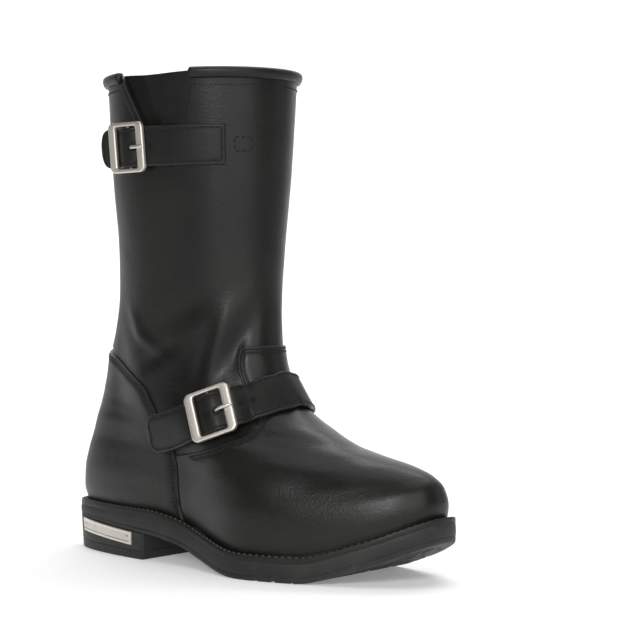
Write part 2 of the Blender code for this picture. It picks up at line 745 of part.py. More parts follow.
def rounded_rectangle(half_l, half_h, rounding):
    """Plan outline of a rectangle with rounded corners."""
    line = []
    for k, (sx, sy) in enumerate(((1, 1), (-1, 1), (-1, -1), (1, -1))):
        for step in range(4):
            angle = math.pi / 2 * (k + step / 3)
            a = sx * (half_l - rounding) + rounding * math.cos(angle)
            b = sy * (half_h - rounding) + rounding * math.sin(angle)
            line.append((a, b))
    return line


def tube(path, radius, across, sides):
    """A round bar through the points of its path."""
    path = [np.array(p) for p in path]
    verts = []
    n = len(path)
    radii = radius if hasattr(radius, "__len__") else [radius] * n
    for i, p in enumerate(path):
        along = unit(path[min(i + 1, n - 1)] - path[max(i - 1, 0)])
        first = unit(across - along * np.dot(across, along))
        second = np.cross(along, first)
        for k in range(sides):
            angle = 2 * math.pi * k / sides
            verts.append(p + radii[i] * (first * math.cos(angle) + second * math.sin(angle)))
    faces = grid_faces(n, sides, True)
    faces.append(tuple(reversed(range(sides))))
    faces.append(tuple(range((n - 1) * sides, n * sides)))
    return verts, faces


def add_buckle(name, buckle, parent, metal):
    """The buckle's frame and centre bar as one solid, and its prong as another."""
    frame = add_object(name, *buckle.frame_mesh(), metal, parent)
    bar = add_object(name + "_bar", *buckle.bar_mesh(), metal, parent)
    bar.hide_render = True
    bar.display_type = "WIRE"
    join = frame.modifiers.new("bar", "BOOLEAN")
    join.operation = "UNION"
    join.solver = "EXACT"
    join.object = bar


def add_prong(name, buckle, parent, metal):
    """The prong, from beside the centre bar through the strap to the far bar."""
    r = PRONG / 2
    window = BUCKLE_LENGTH / 2 - BUCKLE_BAR
    over = BUCKLE_THICKNESS + r + GAP
    path = [
        buckle.at(-CENTRE_BAR / 2 - r - GAP, 0, -0.9 * r),
        buckle.at(-0.42 * window, 0, 0.25 * over),
        buckle.at(-0.75 * window, 0, 0.90 * over),
        buckle.at(-window, 0, over),
        buckle.at(-window - 0.55 * BUCKLE_BAR, 0, over),
        buckle.at(-window - 1.1 * BUCKLE_BAR, 0, over - 0.2 * r),
    ]
    radii = (0.8 * r, r, r, r, r, 0.55 * r)
    add_object(name, *tube(path, radii, buckle.side, 8), metal, parent)


def strap_through(buckle, before, after, width, round_end, spacing):
    """Mesh of a strap that passes under both side bars and over the centre bar."""
    window = BUCKLE_LENGTH / 2 - BUCKLE_BAR
    under = -STRAP_THICKNESS - 2 * GAP
    inner = [
        (buckle.at(-BUCKLE_LENGTH / 2, 0, under), buckle.side),
        (buckle.at(-0.84 * window, 0, under), buckle.side),
        (buckle.at(-0.38 * window, 0, -0.5 * GAP), buckle.side),
        (buckle.at(0, 0, GAP), buckle.side),
        (buckle.at(0.38 * window, 0, -0.5 * GAP), buckle.side),
        (buckle.at(0.84 * window, 0, under), buckle.side),
        (buckle.at(BUCKLE_LENGTH / 2, 0, under), buckle.side),
    ]
    controls = before + inner + after
    fine = smooth_path([np.concatenate(c) for c in controls], 800)
    run = np.concatenate(([0], np.cumsum(np.linalg.norm(np.diff(fine[:, :3], axis=0), axis=1))))
    middle = run[np.argmin(np.linalg.norm(fine[:, :3] - buckle.centre, axis=1))]
    half = BUCKLE_LENGTH / 2
    marks = [middle + window * k for k in (-1.3, -0.84, -0.6, -0.36, -0.12, 0.12, 0.36, 0.6, 0.84, 1.3)]
    start = np.linspace(0, middle - half, max(2, round((middle - half) / spacing)))
    rest = run[-1] - middle - half
    body = np.linspace(middle + half, run[-1] - round_end, max(2, round((rest - round_end) / spacing)))
    tip = run[-1] - round_end * (1 - np.sin(np.linspace(0, math.pi / 2, 6)[1:]))
    stations = np.concatenate((start, marks, body, tip))
    joined = np.stack([np.interp(stations, run, fine[:, k]) for k in range(6)], -1)
    slot = (len(start) + 1, len(start) + 4)
    return strap(joined[:, :3], joined[:, 3:], width, STRAP_THICKNESS, slot, round_end)


def ankle_row(u, inner=False):
    """Row of the ankle strap's middle line at a turn; the inner side lies a little lower."""
    at, rows = zip(*ANKLE_LINE)
    drop = 0.5 * smooth_step((abs(u) - 0.12) / 0.1) if inner else 0.0
    return float(np.interp(abs(u), at, rows)) - drop


def add_ankle_strap(parent, leather, metal):
    """The strap over the instep, its buckle, prong and holding tab."""
    level = PANEL_GAP + COUNTER_THICKNESS + 2 * GAP
    under = level + CHAPE_THICKNESS + 2 * GAP
    buckle = Buckle((-0.186, 7.13), (-0.21, 6.68), under + STRAP_THICKNESS + 2 * GAP)
    before = []
    for u in (0.228, 0.205, 0.18, 0.15, 0.12, 0.09, 0.06, 0.03, 0.0, -0.03, -0.06, -0.09, -0.112):
        here = (u, ankle_row(u, u > 0))
        there = (u - 0.01, ankle_row(u - 0.01, u > 0))
        bridge = 0.0022 * float(smooth_step((0.17 - abs(u)) / 0.10))
        p, _, side, _ = strap_frame(here, there, level + bridge)
        before.append((p, side))
    after = []
    for u, v in ((-0.258, 5.65), (-0.28, 5.18), (-0.298, 4.82)):
        p, _, side, _ = strap_frame((u, v), (u - 0.01, v - 0.2), under)
        after.append((p, side))
    verts, faces = strap_through(buckle, before, after, ANKLE_STRAP_WIDTH, 0.010, 0.008)
    add_object("ankle_strap", verts, faces, leather, parent)
    add_buckle("ankle_buckle", buckle, parent, metal)
    add_prong("ankle_prong", buckle, parent, metal)
    tail = []
    for u, v in ((-0.20, 6.88), (-0.214, 6.6), (-0.228, 6.3), (-0.242, 6.0)):
        p, _, side, _ = strap_frame((u, v), (u - 0.01, v - 0.2), level)
        tail.append((p, side))
    add_chape("ankle_chape", tail, parent, leather)


def add_shaft_strap(parent, leather, metal):
    """The adjusting strap at the notch, its buckle, prong and holding tab."""
    row = 13.56
    level = 2 * GAP
    under = level + CHAPE_THICKNESS + 2 * GAP
    buckle = Buckle((-0.290, row), (-0.312, row), under + STRAP_THICKNESS + GAP)
    before = []
    for u in (-0.115, -0.13, -0.145, -0.16, -0.175, -0.19, -0.205, -0.218):
        p, _, side, _ = strap_frame((u, row), (u - 0.01, row), level)
        before.append((p, side))
    end = buckle.at(BUCKLE_LENGTH / 2, 0, -STRAP_THICKNESS - 2 * GAP)
    after = []
    for reach, bend in ((0.010, 0.0006), (0.019, 0.0020)):
        p = end + buckle.along * reach - buckle.normal * bend
        after.append((p, buckle.side))
    verts, faces = strap_through(buckle, before, after, SHAFT_STRAP_WIDTH, 0.010, 0.007)
    add_object("shaft_strap", verts, faces, leather, parent)
    add_buckle("shaft_buckle", buckle, parent, metal)
    add_prong("shaft_prong", buckle, parent, metal)
    tail = []
    for u in (-0.302, -0.32, -0.34, -0.36):
        p, _, side, _ = strap_frame((u, row), (u - 0.01, row), level)
        tail.append((p, side))
    add_chape("shaft_chape", tail, parent, leather)


def add_chape(name, controls, parent, leather):
    """The short tab, under the strap's end, that holds the buckle to the boot."""
    joined = smooth_path([np.concatenate(c) for c in controls], 10)
    verts, faces = strap(joined[:, :3], joined[:, 3:], CHAPE_WIDTH, CHAPE_THICKNESS)
    add_object(name, verts, faces, leather, parent)


def build():
    """Clear the scene and make every piece under one empty."""
    for old in list(bpy.data.objects):
        bpy.data.objects.remove(old, do_unlink=True)
    boot = bpy.data.objects.new("boot", None)
    boot.location = (-HEEL_LENGTH / 2, 0.0, 0.0)
    bpy.context.scene.collection.objects.link(boot)
    black = material("black_leather", (0.022, 0.021, 0.020), 0.42)
    lining = material("inner_leather", (0.050, 0.045, 0.040), 0.70)
    rubber = material("black_rubber", (0.035, 0.035, 0.034), 0.62)
    nickel = material("antique_nickel", (0.58, 0.54, 0.50), 0.34, 1.0)
    add_sole(boot, rubber, lining)
    line = add_heel(boot, rubber)
    add_badge(boot, nickel, line)
    add_upper(boot, black)
    add_panels(boot, black)
    add_gusset(boot, black)
    add_binding(boot, black)
    add_ankle_strap(boot, black, nickel)
    add_shaft_strap(boot, black, nickel)


build()
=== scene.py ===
"""Appearance of a right engineer boot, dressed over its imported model.

Metres, +Z up, +X to the toe, -Y to the outer side with the buckles. The leather pieces are
cut from one form, the last, whose sections are shares of the boot's own sizes. Places on
the upper are pairs: a turn from the toe (0) through the inner side (+0.25) or the outer
side (-0.25) to the back (0.5), and a row of the section table, from the welt to the collar.
"""

from __future__ import annotations

import logging
import math
from dataclasses import dataclass, field
from enum import Enum
from functools import cache
from typing import Callable, Iterable, Mapping, Protocol, Sequence

import bpy
import numpy as np
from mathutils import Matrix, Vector
from mathutils.geometry import delaunay_2d_cdt
from mathutils.kdtree import KDTree

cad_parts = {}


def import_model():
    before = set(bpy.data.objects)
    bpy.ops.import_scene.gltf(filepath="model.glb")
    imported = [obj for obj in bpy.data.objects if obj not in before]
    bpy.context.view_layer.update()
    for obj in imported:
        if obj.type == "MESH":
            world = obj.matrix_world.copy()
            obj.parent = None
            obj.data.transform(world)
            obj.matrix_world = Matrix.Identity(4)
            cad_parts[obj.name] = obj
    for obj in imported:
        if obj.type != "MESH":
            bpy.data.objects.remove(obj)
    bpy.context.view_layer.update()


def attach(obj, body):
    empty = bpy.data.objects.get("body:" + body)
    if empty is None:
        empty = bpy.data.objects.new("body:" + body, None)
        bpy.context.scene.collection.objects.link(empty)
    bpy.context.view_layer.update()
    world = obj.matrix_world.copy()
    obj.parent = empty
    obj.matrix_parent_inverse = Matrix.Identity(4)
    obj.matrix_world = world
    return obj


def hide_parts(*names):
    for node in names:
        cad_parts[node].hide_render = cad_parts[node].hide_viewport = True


Array = np.ndarray
Colour = tuple[float, float, float]
BODY = "root"

log = logging.getLogger("engineer_boot")


class Slot(Enum):
    """The material slots."""

    BLACK_LEATHER = "black_leather"
    INNER_LEATHER = "inner_leather"
    BLACK_RUBBER = "black_rubber"
    ANTIQUE_NICKEL = "antique_nickel"


# Shader graph


class Value:
    """One shader output; arithmetic on it adds the Math nodes that the expression needs."""

    def __init__(self, graph: "Graph", socket: bpy.types.NodeSocket) -> None:
        """Wrap a socket of the graph."""
        self.graph = graph
        self.socket = socket

    def _math(self, operation: str, *terms: "Value | float") -> "Value":
        """Add one Math node.

        Args:
            operation: Blender's name of the operation.
            terms: its inputs, in order.

        Returns:
            The node's output.
        """
        return self.graph.add("ShaderNodeMath", {"operation": operation}, dict(enumerate(terms)))

    def __add__(self, other: "Value | float") -> "Value":
        """Sum."""
        return self._math("ADD", self, other)

    __radd__ = __add__

    def __sub__(self, other: "Value | float") -> "Value":
        """Difference."""
        return self._math("SUBTRACT", self, other)

    def __rsub__(self, other: float) -> "Value":
        """Difference from a number."""
        return self._math("SUBTRACT", other, self)

    def __mul__(self, other: "Value | float") -> "Value":
        """Product."""
        return self._math("MULTIPLY", self, other)

    __rmul__ = __mul__

    def clamped(self) -> "Value":
        """The value held between 0 and 1."""
        return self.graph.add("ShaderNodeClamp", {}, {"Value": self})

    def ramp(self, low: float, high: float) -> "Value":
        """Ease from 0 at low to 1 at high."""
        sockets = {"Value": self, "From Min": low, "From Max": high}
        return self.graph.add("ShaderNodeMapRange", {"interpolation_type": "SMOOTHSTEP"}, sockets)


class Graph:
    """The node tree of one material, with its Principled shader."""

    def __init__(self, name: str) -> None:
        """Make an empty material.

        Args:
            name: the material's name.
        """
        self.material = bpy.data.materials.new(name)
        self.material.use_nodes = True
        self.tree = self.material.node_tree
        self.shader = self.tree.nodes["Principled BSDF"]

    def add(
        self,
        kind: str,
        settings: Mapping[str, object] | None = None,
        sockets: Mapping[str | int, object] | None = None,
        output: str | int = 0,
    ) -> Value:
        """Add one node.

        Args:
            kind: the node's type.
            settings: its properties, which are set first.
            sockets: values or links of its inputs, by name or place.
            output: which output to return.

        Returns:
            That output.
        """
        node = self.tree.nodes.new(kind)
        for key, value in (settings or {}).items():
            setattr(node, key, value)
        for key, value in (sockets or {}).items():
            self._feed(node.inputs[key], value)
        return Value(self, node.outputs[output])

    def _feed(self, socket: bpy.types.NodeSocket, value: object) -> None:
        """Link a value, or set a number or a colour.

        Args:
            socket: the input to feed.
            value: a link, a number or a colour.
        """
        if isinstance(value, Value):
            self.tree.links.new(value.socket, socket)
        elif isinstance(value, tuple) and socket.type == "RGBA":
            socket.default_value = (*value, 1.0)
        else:
            socket.default_value = value

    def coordinates(self) -> Value:
        """Object coordinates, the same for every piece of the boot."""
        return self.add("ShaderNodeTexCoord", output="Object")

    def stretched(self, scale: tuple[float, float, float]) -> Value:
        """Object coordinates scaled by axis."""
        return self.add("ShaderNodeMapping", {}, {"Vector": self.coordinates(), "Scale": scale})

    def noise(
        self, scale: float, detail: float = 2.0, at: Value | None = None, rough: float = 0.5
    ) -> Value:
        """Soft noise.

        Args:
            scale: waves a metre.
            detail: finer layers added to it.
            at: coordinates, if not the boot's own.
            rough: strength of the finer layers.

        Returns:
            A number about one half.
        """
        sockets = {"Scale": scale, "Detail": detail, "Roughness": rough}
        sockets["Vector"] = at or self.coordinates()
        return self.add("ShaderNodeTexNoise", {}, sockets, "Fac")

    def cells(self, scale: float) -> Value:
        """Distance to the nearest of scattered points, so many a metre."""
        sockets = {"Vector": self.coordinates(), "Scale": scale}
        return self.add("ShaderNodeTexVoronoi", {}, sockets, "Distance")

    def attribute(self, name: str) -> Value:
        """A number that the mesh carries at each vertex."""
        return self.add("ShaderNodeAttribute", {"attribute_name": name}, {}, "Fac")

    def mixed(self, share: Value, first: Value | Colour, second: Value | Colour) -> Value:
        """Blend of two colours."""
        settings = {"data_type": "RGBA", "clamp_factor": True}
        return self.add("ShaderNodeMix", settings, {0: share, 6: first, 7: second}, 2)

    def bump(self, height: Value, distance: float) -> Value:
        """A normal raised by a height."""
        sockets = {"Height": height, "Distance": distance, "Strength": 1.0}
        return self.add("ShaderNodeBump", {}, sockets)

    def finish(self, **sockets: object) -> bpy.types.Material:
        """Feed the Principled shader.

        Args:
            sockets: values or links by socket name, with _ for a space.

        Returns:
            The finished material.
        """
        for key, value in sockets.items():
            self._feed(self.shader.inputs[key.replace("_", " ")], value)
        return self.material


# Finishes


@dataclass(frozen=True)
class Leather:
    """Smooth black full-grain leather: fine pores, soft mottling, rubbed edges and painted shade
    along seams.
    """

    name: str
    colour: Colour = (0.0055, 0.0055, 0.0052)
    tint: Colour = (0.0105, 0.0103, 0.0090)
    rubbed: Colour = (0.026, 0.025, 0.023)
    roughness: float = 0.41
    grain: float = 0.00008
    pores: float = 700.0
    coat: float = 0.10
    mottle_scale: float = 14.0
    cloud_scale: float = 70.0
    crease_scale: float = 190.0
    fibre_scale: float = 900.0
    painted_shade_colour: Colour = (0.003, 0.003, 0.003)

    def build(self) -> bpy.types.Material:
        """Make the material.

        Returns:
            The material.
        """
        g = Graph(self.name)
        mottle = g.noise(self.mottle_scale, 4.0)
        cloud = g.noise(self.cloud_scale, 4.0)
        creases = g.noise(self.crease_scale, 3.0, g.stretched((1.0, 1.0, 2.4)))
        fibre = g.noise(self.fibre_scale, 2.0)
        pits = g.cells(self.pores)
        wear = g.attribute("rub")
        # The seam mark is painted shade: it darkens the colour in stitch grooves, round punched
        # holes and on the welt's top, and also roughens it there.
        seam = g.attribute("seam")
        tone = g.mixed(mottle.ramp(0.35, 0.70), self.colour, self.tint)
        tone = g.mixed((wear * (0.30 + cloud * 0.8)).clamped(), tone, self.rubbed)
        tone = g.mixed(seam, tone, self.painted_shade_colour)
        rough = self.roughness + (mottle - 0.5) * 0.20 + (cloud - 0.5) * 0.16
        rough = rough + (fibre - 0.5) * 0.10
        height = pits * 0.8 + fibre * 0.5 + creases * 1.3 + cloud * 1.2
        return g.finish(
            Base_Color=tone,
            Roughness=(rough - wear * 0.06 + seam * 0.35).clamped(),
            Normal=g.bump(height, self.grain),
            Coat_Weight=self.coat,
            Coat_Roughness=0.30,
            Coat_IOR=1.35,
            Specular_IOR_Level=0.24,
        )


@dataclass(frozen=True)
class Lining:
    """Matte dark lining leather with a suede nap."""

    name: str = "lining_leather"
    colour: Colour = (0.030, 0.027, 0.024)
    worn: Colour = (0.052, 0.047, 0.041)
    cloud_scale: float = 30.0
    nap_scale: float = 900.0

    def build(self) -> bpy.types.Material:
        """Make the material.

        Returns:
            The material.
        """
        g = Graph(self.name)
        cloud = g.noise(self.cloud_scale, 4.0)
        nap = g.noise(self.nap_scale, 3.0)
        tone = g.mixed(cloud.ramp(0.3, 0.75), self.colour, self.worn)
        return g.finish(
            Base_Color=tone,
            Roughness=(0.74 + nap * 0.2).clamped(),
            Normal=g.bump(nap + cloud * 0.6, 0.00012),
            Specular_IOR_Level=0.3,
        )


@dataclass(frozen=True)
class Rubber:
    """Black moulded rubber with a dusty, lightly buffed surface."""

    name: str
    colour: Colour = (0.015, 0.015, 0.0145)
    dust: Colour = (0.036, 0.0355, 0.034)
    roughness: float = 0.56
    cloud_scale: float = 42.0
    streak_scale: float = 60.0
    speck_scale: float = 1500.0

    def build(self) -> bpy.types.Material:
        """Make the material.

        Returns:
            The material.
        """
        g = Graph(self.name)
        cloud = g.noise(self.cloud_scale, 5.0, rough=0.6)
        streak = g.noise(self.streak_scale, 3.0, g.stretched((1.0, 1.0, 9.0)))
        speck = g.noise(self.speck_scale, 2.0)
        wear = g.attribute("rub")
        share = cloud.ramp(0.40, 0.75) * 0.55 + streak.ramp(0.5, 0.8) * 0.25
        share = (share + wear * 0.5).clamped()
        return g.finish(
            Base_Color=g.mixed(share, self.colour, self.dust),
            Roughness=(self.roughness + (cloud - 0.5) * 0.2 + (speck - 0.5) * 0.12).clamped(),
            Normal=g.bump(speck * 0.5 + streak * 0.8, 0.00009),
            Specular_IOR_Level=0.28,
        )


@dataclass(frozen=True)
class Metal:
    """Antique nickel: satin plate, darker in its hollows and scratched on its faces."""

    name: str
    bright: Colour = (0.72, 0.68, 0.62)
    dark: Colour = (0.34, 0.30, 0.27)
    roughness: float = 0.44
    cloud_scale: float = 170.0
    scratch_scale: float = 260.0

    def build(self) -> bpy.types.Material:
        """Make the material.

        Returns:
            The material.
        """
        g = Graph(self.name)
        cloud = g.noise(self.cloud_scale, 5.0, rough=0.62)
        scratch = g.noise(self.scratch_scale, 3.0, g.stretched((1.0, 1.0, 14.0)))
        hollow = g.attribute("hollow")
        stain = (cloud.ramp(0.52, 0.80) * 0.35 + hollow * 0.8).clamped()
        return g.finish(
            Base_Color=g.mixed(stain, self.bright, self.dark),
            Metallic=1.0,
            Roughness=(self.roughness + stain * 0.22 + (scratch - 0.5) * 0.16).clamped(),
            Normal=g.bump(scratch * 0.5 + cloud * 0.5, 0.00004),
        )


@dataclass(frozen=True)
class Thread:
    """Waxed black thread."""

    name: str
    colour: Colour = (0.006, 0.006, 0.006)
    roughness: float = 0.55
    twist_scale: float = 1800.0
    highlight: float = 2.2

    def build(self) -> bpy.types.Material:
        """Make the material.

        Returns:
            The material.
        """
        g = Graph(self.name)
        twist = g.noise(self.twist_scale, 1.0)
        bright = tuple(self.highlight * c for c in self.colour)
        return g.finish(
            Base_Color=g.mixed(twist, self.colour, bright),
            Roughness=(self.roughness + (twist - 0.5) * 0.2).clamped(),
            Normal=g.bump(twist, 0.00015),
            Specular_IOR_Level=0.3,
        )


@dataclass(frozen=True)
class Paper:
    """The plain pale floor and backdrop."""

    name: str = "studio_paper"
    colour: Colour = (0.86, 0.86, 0.86)
    glow: float = 0.24

    def build(self) -> bpy.types.Material:
        """Make the material.

        Returns:
            The material.
        """
        g = Graph(self.name)
        return g.finish(
            Base_Color=self.colour,
            Roughness=0.9,
            Specular_IOR_Level=0.1,
            Emission_Color=self.colour,
            Emission_Strength=self.glow,
        )


class Finishes:
    """Every material of the boot, made once."""

    def __init__(self) -> None:
        """Make the materials."""
        self.shaft = Leather("shaft_leather").build()
        self.vamp = Leather("vamp_leather", roughness=0.38, coat=0.16).build()
        strap = Leather("strap_leather", roughness=0.44, pores=900.0, grain=0.00006)
        self.strap = strap.build()
        self.lining = Lining().build()
        welt = Leather("welt_leather", roughness=0.50, colour=(0.012, 0.012, 0.0115))
        self.welt = welt.build()
        self.sole = Rubber("sole_rubber").build()
        self.heel = Rubber("heel_rubber", roughness=0.52).build()
        self.nickel = Metal("antique_nickel").build()
        self.plate = Metal("badge_nickel", roughness=0.40).build()
        self.thread = Thread("upper_thread").build()
        # The welt thread is grey, not black, as a painted highlight, so its stitches read as
        # glints against the dark welt.
        welt_thread_painted_glint = Thread("welt_thread", colour=(0.045, 0.044, 0.042), roughness=0.36)
        self.welt_thread = welt_thread_painted_glint.build()


# Curves


def ease(q: Array | float) -> Array:
    """Ease from 0 to 1 as q goes from 0 to 1."""
    q = np.clip(q, 0.0, 1.0)
    return q * q * (3 - 2 * q)


def hump(d: Array, width: float) -> Array:
    """A soft hump of height one over so wide a distance."""
    return np.exp(-((d / width) ** 2))


def spread(
    stations: Sequence[float] | Array, values: Sequence[float] | Array, s: Array
) -> Array:
    """Smooth curve through values at stations, never overshooting one of them.

    Args:
        stations: rising places of the values.
        values: what the curve passes through.
        s: where to read it.

    Returns:
        The curve at s.
    """
    t = np.asarray(stations, float)
    y = np.asarray(values, float)
    step = np.diff(t)
    slope = np.diff(y) / step
    m = np.zeros(len(t))
    for i in range(1, len(t) - 1):
        if slope[i - 1] * slope[i] > 0:
            a = 2 * step[i] + step[i - 1]
            b = step[i] + 2 * step[i - 1]
            m[i] = (a + b) / (a / slope[i - 1] + b / slope[i])
    m[0], m[-1] = slope[0], slope[-1]
    s = np.clip(s, t[0], t[-1])
    i = np.clip(np.searchsorted(t, s, side="right") - 1, 0, len(step) - 1)
    q = (s - t[i]) / step[i]
    rise = (3 - 2 * q) * q * q
    ends = y[i] * (1 - rise) + y[i + 1] * rise
    return ends + step[i] * q * (1 - q) * ((1 - q) * m[i] - q * m[i + 1])


def unit(vectors: Array) -> Array:
    """Vectors at length one."""
    return vectors / np.maximum(np.linalg.norm(vectors, axis=-1, keepdims=True), 1e-12)


def dot(a: Array, b: Array) -> Array:
    """Dot products, row by row."""
    return np.sum(a * b, axis=-1)


def run_length(points: Array) -> Array:
    """Distance along a line at each of its points."""
    return np.concatenate(([0.0], np.cumsum(np.linalg.norm(np.diff(points, axis=0), axis=1))))


def curved(points: Sequence[Sequence[float]], per_span: int = 14) -> Array:
    """A round curve through all the given points.

    Args:
        points: at least two places.
        per_span: steps between two of them.

    Returns:
        The curve's points, both ends included.
    """
    p = np.asarray(points, float)
    if len(p) == 2:
        t = np.linspace(0, 1, per_span + 1)[:, None]
        return p[0] + (p[1] - p[0]) * t
    p = np.vstack((2 * p[0] - p[1], p, 2 * p[-1] - p[-2]))
    t = np.linspace(0, 1, per_span, endpoint=False)[:, None]
    spans = []
    for a, b, c, d in zip(p[:-3], p[1:-2], p[2:-1], p[3:]):
        square, cube = 2 * a - 5 * b + 4 * c - d, 3 * b - a - 3 * c + d
        spans.append(0.5 * (2 * b + (c - a) * t + square * t**2 + cube * t**3))
    return np.vstack((*spans, p[-2:-1]))


# The last

COLUMN_NAMES = (
    "back", "front", "back_z", "front_z", "follow",
    "heel", "waist", "ball", "toe", "round_back", "round_front",
)
SECTIONS = (
    # back front back_z front_z follow heel waist ball toe round_back round_front
    (0.028, 0.966, 0.000, 0.000, 1.00, 0.56, 0.56, 0.86, 0.72, 2.3, 2.4),  # feather line
    (0.018, 0.970, 0.035, 0.032, 0.95, 0.59, 0.60, 0.89, 0.73, 2.3, 2.4),  # side wall
    (0.021, 0.963, 0.080, 0.070, 0.85, 0.60, 0.63, 0.90, 0.72, 2.3, 2.3),  # fullest girth
    (0.033, 0.942, 0.125, 0.103, 0.65, 0.59, 0.64, 0.88, 0.68, 2.3, 2.15),  # toe box side
    (0.046, 0.895, 0.165, 0.134, 0.45, 0.58, 0.65, 0.84, 0.63, 2.2, 2.1),  # toe box top
    (0.058, 0.828, 0.200, 0.155, 0.25, 0.58, 0.66, 0.80, 0.60, 2.2, 2.0),  # vamp
    (0.070, 0.757, 0.235, 0.172, 0.10, 0.57, 0.67, 0.75, 0.60, 2.1, 2.0),  # lower instep
    (0.081, 0.690, 0.270, 0.198, 0.00, 0.55, 0.67, 0.70, 0.63, 2.1, 2.1),  # instep
    (0.090, 0.612, 0.310, 0.258, 0.00, 0.55, 0.67, 0.68, 0.62, 2.0, 2.1),  # throat
    (0.100, 0.566, 0.355, 0.350, 0.00, 0.56, 0.67, 0.68, 0.63, 2.0, 2.2),  # ankle
    (0.116, 0.556, 0.410, 0.415, 0.00, 0.60, 0.68, 0.69, 0.65, 2.0, 2.2),  # above ankle
    (0.136, 0.554, 0.500, 0.505, 0.00, 0.67, 0.71, 0.71, 0.70, 2.0, 2.1),  # low shaft
    (0.142, 0.560, 0.620, 0.625, 0.00, 0.76, 0.78, 0.78, 0.77, 2.0, 2.0),  # middle shaft
    (0.134, 0.570, 0.760, 0.762, 0.00, 0.85, 0.86, 0.86, 0.85, 2.0, 2.0),  # full shaft
    (0.130, 0.576, 0.890, 0.890, 0.00, 0.91, 0.92, 0.92, 0.91, 2.0, 2.0),  # below collar
    (0.128, 0.580, 1.000, 1.000, 0.00, 0.96, 0.96, 0.96, 0.96, 2.0, 2.0),  # collar
)
TOP_ROW = len(SECTIONS) - 1
NOTCH_FRONT = ((-0.174, 15.0), (-0.182, 14.45), (-0.192, 13.9), (-0.205, 13.3))
NOTCH_REAR = ((-0.308, 15.0), (-0.285, 14.53), (-0.261, 14.03), (-0.232, 13.3))
NOTCH_LOW = 13.3


FOLD_REACH = 0.035  # a crease fades out this far through the boot


@dataclass(frozen=True)
class Fold:
    """One soft crease of the leather.

    Its middle lies at a turn and a row. The slant is in degrees from level, rising towards
    the inner side. Length and width are halves, in metres, and a trough's rise is negative.
    """

    turn: float
    row: float
    slant: float
    length: float
    width: float
    rise: float

    def raise_at(self, points: Array, frame: tuple[Array, Array, Array, Array]) -> Array:
        """Height that the crease gives to points near it.

        Args:
            points: places on the upper.
            frame: the crease's place, and the directions round, up and out of the upper.

        Returns:
            One height a point.
        """
        centre, across, up, out = frame
        d = points - centre
        a, b = d @ across, d @ up
        slant = math.radians(self.slant)
        along = a * math.cos(slant) + b * math.sin(slant)
        over = b * math.cos(slant) - a * math.sin(slant)
        near = hump(d @ out, FOLD_REACH)
        return self.rise * hump(along, self.length) * hump(over, self.width) * near


FOLDS = (
    # turn row slant length width rise
    Fold(-0.100, 9.55, 58, 0.021, 0.0066, -0.0023),
    Fold(-0.074, 10.25, 66, 0.016, 0.0080, -0.0014),
    Fold(-0.104, 9.02, 84, 0.011, 0.0045, -0.0012),
    Fold(-0.138, 9.30, 72, 0.022, 0.0058, 0.0022),
    Fold(-0.118, 10.25, 50, 0.018, 0.0085, 0.0010),
    Fold(-0.165, 8.85, 80, 0.014, 0.0050, -0.0009),
    Fold(-0.200, 9.60, 40, 0.028, 0.0080, 0.0008),
    Fold(-0.245, 9.10, 24, 0.030, 0.0065, -0.0010),
    Fold(-0.300, 10.25, -48, 0.015, 0.0045, 0.0007),
    Fold(-0.318, 10.00, -44, 0.014, 0.0055, -0.0004),
    Fold(-0.268, 9.62, -28, 0.016, 0.0040, 0.0007),
    Fold(-0.180, 10.70, 28, 0.034, 0.0100, -0.0008),
    Fold(0.120, 9.55, -58, 0.021, 0.0062, -0.0026),
    Fold(0.158, 9.25, -70, 0.022, 0.0058, 0.0019),
    Fold(0.205, 9.80, -38, 0.030, 0.0080, 0.0009),
    Fold(0.250, 9.25, -24, 0.030, 0.0068, -0.0010),
    Fold(0.310, 10.20, 46, 0.015, 0.0040, 0.0013),
    Fold(0.160, 10.60, -25, 0.032, 0.0100, -0.0008),
    Fold(-0.135, 12.2, 86, 0.060, 0.0140, 0.0008),
    Fold(-0.210, 11.8, 88, 0.060, 0.0140, -0.0006),
    Fold(0.150, 12.0, 90, 0.060, 0.0140, 0.0008),
    Fold(0.320, 11.6, 86, 0.050, 0.0140, -0.0006),
    Fold(-0.125, 12.24, 4, 0.014, 0.0010, -0.00022),
    Fold(-0.118, 12.12, 7, 0.012, 0.0010, -0.00022),
    Fold(-0.134, 12.02, 2, 0.012, 0.0009, -0.00018),
    Fold(-0.060, 5.9, 8, 0.026, 0.0050, -0.0003),
    Fold(-0.085, 5.35, 12, 0.022, 0.0045, -0.0002),
    Fold(0.070, 5.6, -10, 0.028, 0.0050, -0.0004),
    Fold(-0.120, 4.6, 20, 0.024, 0.0080, -0.0003),
    Fold(-0.150, 3.4, 28, 0.026, 0.0080, -0.0005),
)


